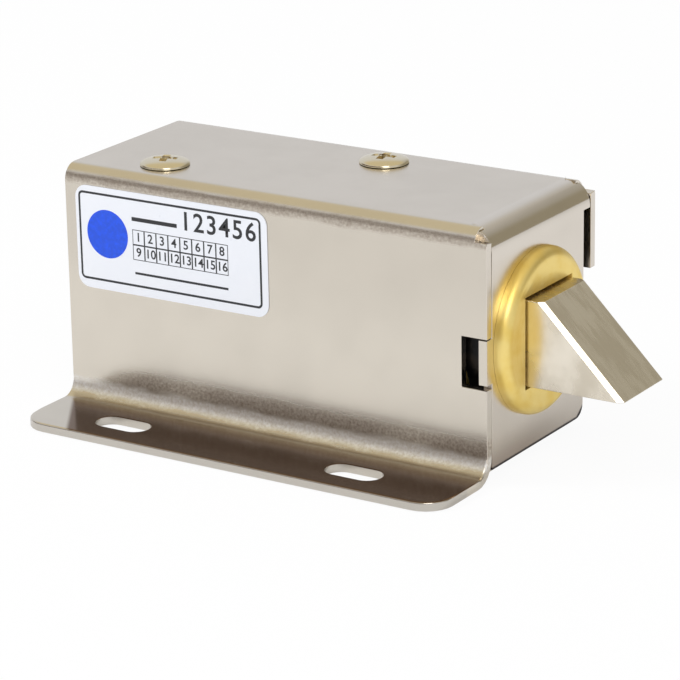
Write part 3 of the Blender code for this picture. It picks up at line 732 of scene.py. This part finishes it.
case_sheet = merged_copy("case_shell", "case_sheet")
tip_x = max(
    v.co.x for v in case_sheet.data.vertices
    if v.co.z > case_high.z - 0.8 * MM and v.co.y < wall_y + TOP_BEND
)
top_centre = Vector((tip_x, wall_y + TOP_BEND, case_high.z - TOP_BEND))
foot_centre = Vector((case_high.x, wall_y - FOOT_BEND, SHEET + FOOT_BEND))


def on_arc(edge, centre, radius, side):
    """Whether an edge runs along a bend's end; side is -1 for the top bend, 1 for the foot."""
    return all(
        abs(v.co.x - centre.x) < 0.02 * MM
        and (v.co.y - centre.y) * side > -0.02 * MM and (centre.z - v.co.z) * side > -0.02 * MM
        and abs((v.co - centre).yz.length - radius) < 0.03 * MM
        for v in edge.verts
    )


enter()
for centre, radius, side in ((top_centre, TOP_BEND, -1), (foot_centre, FOOT_BEND, 1)):
    found = pick(case_sheet, "EDGE", lambda edge: on_arc(edge, centre, radius, side))
    if found:
        bpy.ops.mesh.bevel(offset=TIP_ROUNDING, segments=4, affect="EDGES")
    print("edges rounded at a tip:", found)
leave()

# %% [markdown]
# The upper edge of the flange is rounded too, but not the edges of its slots. The end plate was
# pressed against the front wall, so the gap between them is narrower than in the solid: the
# points on the plate's side of it move a little towards the wall.

# %% Flange rim and end gap
RIM_ROUNDING = 0.30 * MM
END_GAP = 0.15 * MM
GAP_CLOSED = 0.09 * MM


def on_flange_rim(edge):
    """Whether an edge is on the flange's upper outline, but not on a slot."""
    in_slot = all(abs(v.co.y) < 2.5 * MM and 14 * MM < abs(v.co.x) < 26 * MM for v in edge.verts)
    rises = [abs(face.normal.z) for face in edge.link_faces]
    level = all(
        abs(v.co.z - SHEET) < 0.01 * MM and v.co.y < wall_y - FOOT_BEND - 0.05 * MM
        for v in edge.verts
    )
    return level and not in_slot and max(rises) > 0.9 and min(rises) < 0.1


enter()
found = pick(case_sheet, "EDGE", on_flange_rim)
bpy.ops.mesh.bevel(offset=RIM_ROUNDING, segments=4, affect="EDGES")
print("edges rounded on the flange:", found)
found = pick(case_sheet, "VERT", lambda v: (
    v.co.x > case_high.x - 1.5 * MM and v.co.z < case_high.z - 4 * MM
    and abs(v.co.y - (wall_y + SHEET + END_GAP)) < 0.03 * MM
))
bpy.ops.transform.translate(value=(0, -GAP_CLOSED, 0))
print("points moved at the gap:", found)
leave()
broken_edges(case_sheet, "case_shell", 0.10 * MM, 2, case_nickel, "lock_case")

# %% [markdown]
# The front finish goes on every face in front of the wall, and on the top bend up to the place
# where it turns level. The faces beside the end bend keep the case's own finish.

# %% Finish of the front faces
case_sheet.data.materials.append(front_nickel)
front_faces = 0
for face in case_sheet.data.polygons:
    middle = face.center
    on_front = middle.y < wall_y + 0.01 * MM
    on_bend = middle.y < wall_y + TOP_BEND and middle.x < case_high.x - 1.7 * MM
    if on_front or (on_bend and face.normal.y < 0.01 and face.normal.z < 0.995):
        face.material_index = 1
        front_faces += 1
print("front faces:", front_faces)

# %% [markdown]
# The cover and the bolt get the same rounding. The bolt's is the finest, because its faces were
# ground after pressing. The long chamfer beside its ramp is the brightest line of the whole lock.

# %% Cover sheet and bolt
cover_sheet = merged_copy("rear_cover", "cover_sheet")
broken_edges(cover_sheet, "rear_cover", 0.08 * MM, 2, cover_nickel, "lock_case")
ground_bolt = merged_copy("latch_bolt", "ground_bolt")
broken_edges(ground_bolt, "latch_bolt", 0.05 * MM, 2, bolt_steel, "bolt")

# %% [markdown]
# The brass bush is the brightest piece, and its rim is what makes it look turned: a wide, soft
# rounding that runs into a flat face. It is built as on a lathe, from a bar: the end is widened
# and drawn out to the flange, the outer edge is rounded with the Bevel tool, and a square bar
# cuts the hole for the bolt, whose mouth is eased by a small bevel.

# %% Brass bush
BUSH_OVERHANG = 1.5 * MM
BUSH_SEAT = 0.02 * MM
BUSH_ROUNDING = 1.6 * MM
SQUARE_HOLE = 13.55 * MM


def on_hole_rim(edge, front):
    """Whether an edge is on the square hole's outline in the front face."""
    return all(
        v.co.x > front - 0.01 * MM
        and max(abs(v.co.y - axis_y), abs(v.co.z - axis_z)) < SQUARE_HOLE / 2 + 0.01 * MM
        for v in edge.verts
    )


def turned_bush():
    low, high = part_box("bolt_bush")
    flange = (high.z - low.z) / 2
    tail = flange - BUSH_OVERHANG
    seat = case_high.x + BUSH_SEAT
    bpy.ops.mesh.primitive_cylinder_add(
        vertices=144, radius=tail, depth=seat - low.x, rotation=(0, math.pi / 2, 0),
        location=((seat + low.x) / 2, axis_y, axis_z),
    )
    made = named("brass_bush")
    apply_place()
    enter()
    pick(made, "FACE", lambda face: face.normal.x > 0.9)
    bpy.ops.mesh.extrude_region_move(TRANSFORM_OT_translate={"value": (0, 0, 0)})
    bpy.ops.transform.resize(value=(1, flange / tail, flange / tail))
    bpy.ops.mesh.extrude_region_move(TRANSFORM_OT_translate={"value": (high.x - seat, 0, 0)})
    pick(made, "EDGE", lambda edge: all(v.co.x > high.x - 0.01 * MM for v in edge.verts))
    bpy.ops.mesh.bevel(offset=BUSH_ROUNDING, segments=14, profile=0.5, affect="EDGES")
    leave()

    bpy.ops.mesh.primitive_cube_add(size=SQUARE_HOLE, location=(0, axis_y, axis_z))
    cutter = named("square_bar")
    cutter.scale = (20, 1, 1)
    modify(made, "BOOLEAN", operation="DIFFERENCE", solver="EXACT", object=cutter)
    bpy.data.objects.remove(cutter)
    only(made)
    enter()
    pick(made, "EDGE", lambda edge: on_hole_rim(edge, high.x))
    bpy.ops.mesh.bevel(offset=0.12 * MM, segments=2, affect="EDGES")
    leave()
    smooth(made, 35)
    settle(made, bush_brass, "lock_case")
    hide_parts("bolt_bush")


turned_bush()

# %% [markdown]
# A screw needs two more shapes: a tool that cuts the cross recess, made of two tapered bars, and a
# thread, which is a small triangle carried round and down by the Screw modifier.

# %% Recess tool and thread
def cross_cutter(span, width, depth, top):
    """Two crossed bars that narrow downwards."""
    bpy.ops.mesh.primitive_cube_add(size=1, location=(0, 0, top - depth / 2))
    made = named("recess_cutter")
    made.scale = (span, width, depth)
    only(made)
    bpy.ops.object.transform_apply(location=True, rotation=False, scale=True)
    enter()
    pick(made, "FACE", lambda face: face.normal.z < -0.9)
    bpy.ops.transform.resize(value=(0.45, 0.6, 1))
    bpy.ops.mesh.select_all(action="SELECT")
    bpy.ops.mesh.duplicate()
    bpy.ops.transform.rotate(value=math.pi / 2, orient_axis="Z", center_override=(0, 0, top))
    leave()
    return made


def screw_thread(radius, pitch, start, turns):
    """A ridge that climbs round the shank."""
    bpy.ops.mesh.primitive_circle_add(
        vertices=3, radius=pitch * 0.52, location=(radius - pitch * 0.42, 0, start),
        rotation=(math.pi / 2, 0, 0), fill_type="NOTHING",
    )
    made = named("thread")
    only(made)
    apply_place()
    modify(
        made, "SCREW", axis="Z", angle=math.tau, screw_offset=pitch, iterations=turns,
        steps=28, render_steps=28, use_normal_calculate=True,
    )
    return made


print("screw helpers ready")

# %% [markdown]
# The screws are pan heads with a cross recess. The head starts as a sphere, flattened to the
# height of the crown and cut off level; its open edge is extruded down to make the rim, and the
# two bars cut the recess. A fine bevel then rounds the edges that the cut left.

# %% Pan head
RIM_SHARE = 0.16
RECESS_SPAN = 0.56
RECESS_WIDTH = 0.16
RECESS_DEPTH = 1.25


def pan_head(name, head, height, spin):
    """A head that stands on the origin, with its recess turned by the spin."""
    rim = RIM_SHARE * height
    bpy.ops.mesh.primitive_uv_sphere_add(segments=64, ring_count=32, radius=head / 2)
    made = named(name)
    enter(everything=True)
    bpy.ops.transform.resize(value=(1, 1, (height - rim) / (head / 2)))
    bpy.ops.mesh.bisect(plane_co=(0, 0, 0), plane_no=(0, 0, 1), clear_inner=True)
    pick(made, "EDGE", lambda edge: all(abs(v.co.z) < 0.000001 for v in edge.verts))
    bpy.ops.mesh.extrude_region_move(TRANSFORM_OT_translate={"value": (0, 0, -rim)})
    bpy.ops.mesh.edge_face_add()
    bpy.ops.mesh.select_all(action="SELECT")
    bpy.ops.transform.translate(value=(0, 0, rim))
    bpy.ops.mesh.normals_make_consistent(inside=False)
    leave()

    cutter = cross_cutter(
        RECESS_SPAN * head, RECESS_WIDTH * head, RECESS_DEPTH * height, height + 0.15 * MM,
    )
    modify(made, "BOOLEAN", operation="DIFFERENCE", solver="EXACT", use_self=True, object=cutter)
    bpy.data.objects.remove(cutter)
    modify(
        made, "BEVEL", width=0.05 * MM, segments=2, limit_method="ANGLE",
        angle_limit=math.radians(38), use_clamp_overlap=True,
    )
    enter(everything=True)
    bpy.ops.transform.rotate(value=spin, orient_axis="Z", center_override=(0, 0, 0))
    leave()
    return made


print("pan head ready")

# %% [markdown]
# The Boolean cut isn't quite repeatable: very seldom it loses the crown. The crown and the
# underside of a sound head have more surface than two flat discs, so a head with less is removed
# and made once more.

# %% Sound head
HEAD_TRIES = 5


def surface(made):
    """The area of all faces of an object."""
    return sum(face.area for face in made.data.polygons)


def sound_head(name, head, height, spin):
    """A pan head with its crown in place."""
    two_discs = 2 * math.pi * (head / 2) ** 2
    made = pan_head(name, head, height, spin)
    tries = 1
    while surface(made) < two_discs and tries < HEAD_TRIES:
        bpy.data.meshes.remove(made.data)
        made = pan_head(name, head, height, spin)
        tries += 1
    return made


print("sound head ready")

# %% [markdown]
# The shank is a cylinder with a chamfered end. It is joined with its thread and the head into one
# piece, whose origin is the place where the head meets the sheet.

# %% Whole screw
def cross_screw(name, head, height, shank, length, pitch, spin):
    """A whole screw that stands on the origin with its shank going down."""
    made = sound_head(name, head, height, spin)
    bpy.ops.mesh.primitive_cylinder_add(
        vertices=40, radius=shank / 2 - pitch * 0.55, depth=length, location=(0, 0, -length / 2),
    )
    core = named("shank")
    enter()
    pick(core, "FACE", lambda face: face.normal.z < -0.9)
    bpy.ops.mesh.bevel(offset=0.3 * MM, segments=2, affect="EDGES")
    leave()
    thread = screw_thread(shank / 2, pitch, 0.5 * pitch - length, int(length / pitch) - 1)
    bpy.ops.object.select_all(action="DESELECT")
    for piece in (core, thread, made):
        piece.select_set(True)
    bpy.context.view_layer.objects.active = made
    bpy.ops.object.join()
    smooth(made, 35)
    return made


print("whole screw ready")

# %% [markdown]
# Each screw takes its head, its length and its place from its solid's box. The top screws stand
# upright; the cover screws are the same shape, smaller and turned to lie along Y. Their crosses
# were left at different angles by the screwdriver.

# %% Place the screws
HEAD_GAP = 0.1 * MM
TOP_SCREW = (3.5 * MM, 0.7 * MM)
COVER_SCREW = (3.0 * MM, 0.5 * MM)

screw_nickel = nickel_finish("screw_nickel", colour(0.76, 0.69, 0.53), 0.15, 0.000002)

for node, spin in (("top_screw_left", 1.20), ("top_screw_right", 1.42)):
    low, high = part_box(node)
    head_base = case_high.z + HEAD_GAP
    shank, pitch = TOP_SCREW
    screw = cross_screw(
        node + "_cross", high.x - low.x, high.z - head_base, shank,
        head_base - low.z, pitch, spin,
    )
    screw.location = ((low.x + high.x) / 2, (low.y + high.y) / 2, head_base)
    settle(screw, screw_nickel, "lock_case")
    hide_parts(node)

for node, spin in (("cover_screw_left", 0.2), ("cover_screw_right", 0.9)):
    low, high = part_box(node)
    head_base = case_high.y + HEAD_GAP
    shank, pitch = COVER_SCREW
    screw = cross_screw(
        node + "_cross", high.x - low.x, high.y - head_base, shank,
        head_base - low.y, pitch, spin,
    )
    screw.rotation_euler = (-math.pi / 2, 0, 0)
    screw.location = ((low.x + high.x) / 2, head_base, (low.z + high.z) / 2)
    settle(screw, screw_nickel, "lock_case")
    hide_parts(node)

# %% [markdown]
# The label is white film, and the print on it is flat ink, black and blue. Film has a soft gloss
# that wanders with its slight waves. Ink is never quite even, so it fades a little in spots.

# %% Film and inks
def film_finish():
    made, place = new_finish("label_film")
    clouds = place.noise(300, 2.0)
    return set_finish(made, {
        "Base Color": clouds.blend(colour(0.79, 0.82, 0.88), colour(0.81, 0.83, 0.88)),
        "Roughness": clouds * 0.12 + 0.24,
        "Coat Weight": 0.2,
        "Normal": (place.noise(90, 2.0) * 0.00002).bump(),
    })


def ink_finish(name, ink):
    made, place = new_finish(name)
    fade = place.noise(1400, 3.0).step(0.35, 0.8)
    pale = tuple(part * 1.25 for part in ink[:3]) + (1.0,)
    return set_finish(made, {
        "Base Color": fade.blend(ink, pale),
        "Roughness": fade * 0.15 + 0.30,
    })


label_film = film_finish()
black_ink = ink_finish("black_ink", colour(0.016, 0.017, 0.020))
blue_ink = ink_finish("blue_ink", colour(0.003, 0.070, 0.67))
print("made", label_film.name, black_ink.name, blue_ink.name)

# %% [markdown]
# The sticker has rounded corners and was stuck on by hand, so it is a little off level. It is a
# plane whose corners are bevelled, then thickened, and at last stood up against the wall.

# %% Sticker
LABEL_TILT = math.radians(0.2)
LABEL_FACE = 0.13 * MM
LABEL_MARGIN = 0.1 * MM
LABEL_CORNER = 2.0 * MM
FILM = 0.11 * MM

label_middle = Vector((
    (label_low.x + label_high.x) / 2, wall_y - LABEL_FACE, (label_low.z + label_high.z) / 2,
))


def stand_up(made, lift):
    """Turn a flat piece drawn on the ground to stand on the front wall, at the label's tilt."""
    facing = Matrix.Rotation(math.pi / 2, 4, "X") @ Matrix.Rotation(LABEL_TILT, 4, "Z")
    made.matrix_world = Matrix.Translation(label_middle - Vector((0, lift, 0))) @ facing


def rounded_plane(name, x0, x1, y0, y1, radius):
    """A flat rectangle on the ground with rounded corners, from its sides in metres."""
    bpy.ops.mesh.primitive_plane_add(size=1, location=((x0 + x1) / 2, (y0 + y1) / 2, 0))
    made = named(name)
    made.scale = (x1 - x0, y1 - y0, 1)
    apply_place()
    enter(everything=True)
    if radius > 0:
        bpy.ops.mesh.bevel(offset=radius, segments=8, affect="VERTICES")
    leave()
    return made


half_long = (label_high.x - label_low.x) / 2 - LABEL_MARGIN
half_high = (label_high.z - label_low.z) / 2 - LABEL_MARGIN
sticker = rounded_plane(
    "label_sticker", -half_long, half_long, -half_high, half_high, LABEL_CORNER,
)
modify(sticker, "SOLIDIFY", thickness=FILM, offset=-1)
stand_up(sticker, 0)
settle(sticker, label_film, "lock_case")
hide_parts("label")

# %% [markdown]
# Places on the label were measured in the photograph from the case's left end and the mounting
# face. One helper turns them into places on the flat drawing. The other sets figures in the
# built-in typeface and turns them into a flat mesh; a figure is 0.73 of the type's size.

# %% Figures
FIGURE_SHARE = 0.73


def on_label(x, z):
    """A place measured from the case's left end and the mounting face, in mm."""
    return (case_low.x + x * MM - label_middle.x, z * MM - label_middle.z)


def figures(text, x, z, tall, weight):
    """Numbers as flat mesh, centred on a place."""
    u, v = on_label(x, z)
    bpy.ops.object.text_add(location=(u, v, 0))
    made = bpy.context.active_object
    made.data.body = text
    made.data.size = tall * MM / FIGURE_SHARE
    made.data.offset = weight * MM
    made.data.align_x = "CENTER"
    made.data.align_y = "CENTER"
    made.data.resolution_u = 4
    only(made)
    bpy.ops.object.convert(target="MESH")
    made = bpy.context.active_object
    made.name = "figures"
    apply_place()
    made.data.materials.clear()
    made.data.materials.append(black_ink)
    return made


print("figures ready")

# %% [markdown]
# A frame line is a plane whose inside is cut away. The boxes are a grid of faces that are all
# inset by themselves, and again only the lines between them stay.

# %% Frame line and boxes
def line_frame(name, x0, x1, z0, z1, radius, width):
    """A rounded frame line: a plane whose inside is cut away."""
    u0, v0 = on_label(x0, z0)
    u1, v1 = on_label(x1, z1)
    made = rounded_plane(name, u0, u1, v0, v1, radius * MM)
    enter(everything=True)
    bpy.ops.mesh.inset(thickness=width * MM)
    bpy.ops.mesh.delete(type="FACE")
    leave()
    made.data.materials.append(black_ink)
    return made


def number_grid(x0, x1, z0, z1, columns, rows, width):
    """Rows of boxes, drawn as the lines between them."""
    u0, v0 = on_label(x0, z0)
    u1, v1 = on_label(x1, z1)
    bpy.ops.mesh.primitive_grid_add(
        x_subdivisions=columns, y_subdivisions=rows, size=1,
        location=((u0 + u1) / 2, (v0 + v1) / 2, 0),
    )
    made = named("boxes")
    made.scale = (u1 - u0, v1 - v0, 1)
    apply_place()
    enter(everything=True)
    bpy.ops.mesh.inset(thickness=width * MM, use_individual=True)
    bpy.ops.mesh.delete(type="FACE")
    leave()
    made.data.materials.append(black_ink)
    return made


print("frame line and boxes ready")

# %% [markdown]
# The print is a thin frame, a blue disc, a grid of numbered boxes, a row of figures and two plain
# rules. Places are in millimetres: left, right, bottom and top. All of it is joined into one
# piece that lies a hundredth of a millimetre above the film.

# %% Print on the label
FRAME = (2.5, 34.9, 20.0, 33.55)
DISC = (7.6, 27.4)
DISC_RADIUS = 3.7 * MM
GRID = (12.15, 29.1, 24.15, 28.8)
COLUMNS = 8
ROWS = 2
ROW_START = (21.8, 31.2)
ROW_STEP = 2.27
RULES = ((12.1, 20.2, 30.1, 30.7), (12.4, 29.0, 21.95, 22.3))
INK_LIFT = 0.012 * MM

prints = [line_frame("frame_line", *FRAME, 0.8, 0.34)]

u, v = on_label(*DISC)
bpy.ops.mesh.primitive_circle_add(
    vertices=72, radius=DISC_RADIUS, fill_type="NGON", location=(u, v, 0),
)
disc = named("blue_disc")
apply_place()
disc.data.materials.append(blue_ink)
prints.append(disc)

prints.append(number_grid(*GRID, COLUMNS, ROWS, 0.11))
for index in range(COLUMNS * ROWS):
    column = index % COLUMNS
    row = index // COLUMNS
    x = GRID[0] + (GRID[1] - GRID[0]) * (column + 0.5) / COLUMNS
    z = GRID[3] - (GRID[3] - GRID[2]) * (row + 0.5) / ROWS
    prints.append(figures(str(index + 1), x, z, 1.4, 0.03))

for index in range(6):
    x = ROW_START[0] + ROW_STEP * index
    prints.append(figures(str(index + 1), x, ROW_START[1], 2.9, 0.05))

for x0, x1, z0, z1 in RULES:
    u0, v0 = on_label(x0, z0)
    u1, v1 = on_label(x1, z1)
    rule = rounded_plane("rule", u0, u1, v0, v1, 0)
    rule.data.materials.append(black_ink)
    prints.append(rule)

bpy.ops.object.select_all(action="DESELECT")
for made in prints:
    made.select_set(True)
bpy.context.view_layer.objects.active = prints[0]
bpy.ops.object.join()
label_print = named("label_print")
stand_up(label_print, INK_LIFT)
settle(label_print, None, "lock_case")

# %% [markdown]
# The return spring sits in the bores of the core and the plunger. A ring of wire is carried along
# the axis by the Screw modifier.

# %% Return spring
WIRE_RADIUS = 0.4 * MM
SPRING_TURNS = 11


def return_coil():
    low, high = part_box("return_spring")
    length = high.x - low.x
    radius = (high.z - low.z) / 2 - WIRE_RADIUS
    pitch = (length - 2 * WIRE_RADIUS) / SPRING_TURNS
    bpy.ops.mesh.primitive_circle_add(
        vertices=12, radius=WIRE_RADIUS, location=(radius, 0, 0), rotation=(math.pi / 2, 0, 0),
    )
    made = named("return_coil")
    apply_place()
    modify(
        made, "SCREW", axis="Z", angle=math.tau, screw_offset=pitch, iterations=SPRING_TURNS,
        steps=32, render_steps=32, use_normal_calculate=True,
    )
    enter()
    pick(made, "EDGE", lambda edge: edge.is_boundary)
    bpy.ops.mesh.edge_face_add()
    bpy.ops.mesh.select_all(action="SELECT")
    bpy.ops.mesh.normals_make_consistent(inside=False)
    leave()
    smooth(made, 50)
    made.rotation_euler = (0, math.pi / 2, 0)
    made.location = (low.x + WIRE_RADIUS, axis_y, axis_z)
    settle(made, turned_steel, "lock_case")
    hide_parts("return_spring")
    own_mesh(made)


return_coil()

# %% [markdown]
# A bright metal shows its surroundings more than itself, so the room matters as much as the
# finish. For reflections the world's colour is worked out from the direction of each ray: pale
# walls, a warm ceiling, a dark brown side of the room low down in front on the left, and a
# softer brown one at the back on the right. For matt surfaces it is an even grey, so that the
# label keeps its white. The camera itself sees plain white.

# %% Room
def room():
    world = bpy.data.worlds.new("studio")
    bpy.context.scene.world = world
    world.use_nodes = True
    tree = world.node_tree
    coords = tree.nodes.new("ShaderNodeTexCoord")
    direction = Wire(tree, coords.outputs["Generated"])
    up = direction.part(2)
    flat = direction.stretched(1, 1, 0)
    flat = flat.node("ShaderNodeVectorMath", {"operation": "NORMALIZE"}, {0: flat})

    def towards(x, y):
        """1 for rays that go this way round, -1 for the opposite way."""
        return flat.node(
            "ShaderNodeVectorMath", {"operation": "DOT_PRODUCT"}, {0: flat, 1: (x, y, 0)}, 1,
        )

    walls = up.step(0.48, 0.72).blend(colour(0.76, 0.77, 0.80), colour(0.73, 0.65, 0.47))
    dark_front = towards(-0.54, -0.84).step(0.35, 0.75) * (1 - up.step(0.27, 0.41))
    dark_back = towards(0.54, 0.84).step(0.55, 0.99) * (1 - up.step(0.32, 0.82))
    seen = dark_back.blend(walls, colour(0.36, 0.325, 0.24))
    seen = dark_front.blend(seen, colour(0.13, 0.08, 0.05))
    light_path = tree.nodes.new("ShaderNodeLightPath")
    is_camera = Wire(tree, light_path.outputs["Is Camera Ray"])
    is_glossy = Wire(tree, light_path.outputs["Is Glossy Ray"])
    final = is_glossy.blend(colour(0.62, 0.62, 0.63), seen)
    final = is_camera.blend(final, colour(1, 1, 1))
    tree.links.new(final.socket, tree.nodes["Background"].inputs["Color"])
    tree.nodes["Background"].inputs["Strength"].default_value = 1.0
    print("room made with", len(tree.nodes), "nodes")


room()

# %% [markdown]
# Two soft lamps shape it. The key stands high on the right of the camera and lights the edges
# that are turned that way. The window is a large lamp on the front left that throws the soft
# shadow; it is kept out of reflections, where the room already has its say. Their power is kept
# plain, so that a colour renders about as it is written.

# %% Lamps
def soft_lamp(name, direction, distance, across, power, tint):
    light = bpy.data.lights.new(name, "AREA")
    light.shape = "DISK"
    light.size = across
    light.energy = power
    light.color = tint
    lamp = bpy.data.objects.new(name, light)
    bpy.context.scene.collection.objects.link(lamp)
    away = Vector(direction).normalized()
    lamp.location = AIM + away * distance
    lamp.rotation_mode = "QUATERNION"
    lamp.rotation_quaternion = away.to_track_quat("Z", "Y")
    on_table = power / (math.pi * distance ** 2) * away.z / math.pi
    print(name, "light on the table: %.2f" % on_table)
    return lamp


soft_lamp("key", (0.49, -0.57, 0.67), 0.9, 0.46, 1.8, (1.0, 0.985, 0.96))
window = soft_lamp("window", (-0.62, -0.42, 0.66), 1.2, 0.5, 7.0, (1.0, 1.0, 1.0))
window.visible_glossy = False

# %% [markdown]
# The lock stands on a wide, pale table without a visible edge. It is an ordinary matt surface, so
# it keeps the soft shadow under the flange; most of its brightness for the camera is a plain
# white, which keeps the paper as white as in the photograph.

# %% Table
TABLE_WIDTH = 6
TABLE_DROP = 0.1 * MM


def table():
    bpy.ops.mesh.primitive_plane_add(size=TABLE_WIDTH, location=(0, 0, -TABLE_DROP))
    made = named("table")
    apply_place()
    paper = bpy.data.materials.new("table_paper")
    paper.use_nodes = True
    tree = paper.node_tree
    shader = tree.nodes["Principled BSDF"]
    shader.inputs["Base Color"].default_value = colour(0.90, 0.90, 0.90)
    shader.inputs["Roughness"].default_value = 0.9
    light_path = tree.nodes.new("ShaderNodeLightPath")
    camera_ray = Wire(tree, light_path.outputs["Is Camera Ray"])
    glossy_ray = Wire(tree, light_path.outputs["Is Glossy Ray"])
    share = camera_ray * 0.94 + glossy_ray * 0.25
    glow = camera_ray.node("ShaderNodeEmission", {}, {"Color": colour(1, 1, 1), "Strength": 1.0})
    mixed = camera_ray.node("ShaderNodeMixShader", {}, {0: share, 2: glow})
    mixer = mixed.socket.node
    tree.links.new(shader.outputs["BSDF"], mixer.inputs[1])
    tree.links.new(mixed.socket, tree.nodes["Material Output"].inputs["Surface"])
    made.data.materials.append(paper)
    print("table made")


table()

# %% [markdown]
# The colours are shown as they are.

# %% Finish
bpy.context.scene.view_settings.view_transform = "Standard"
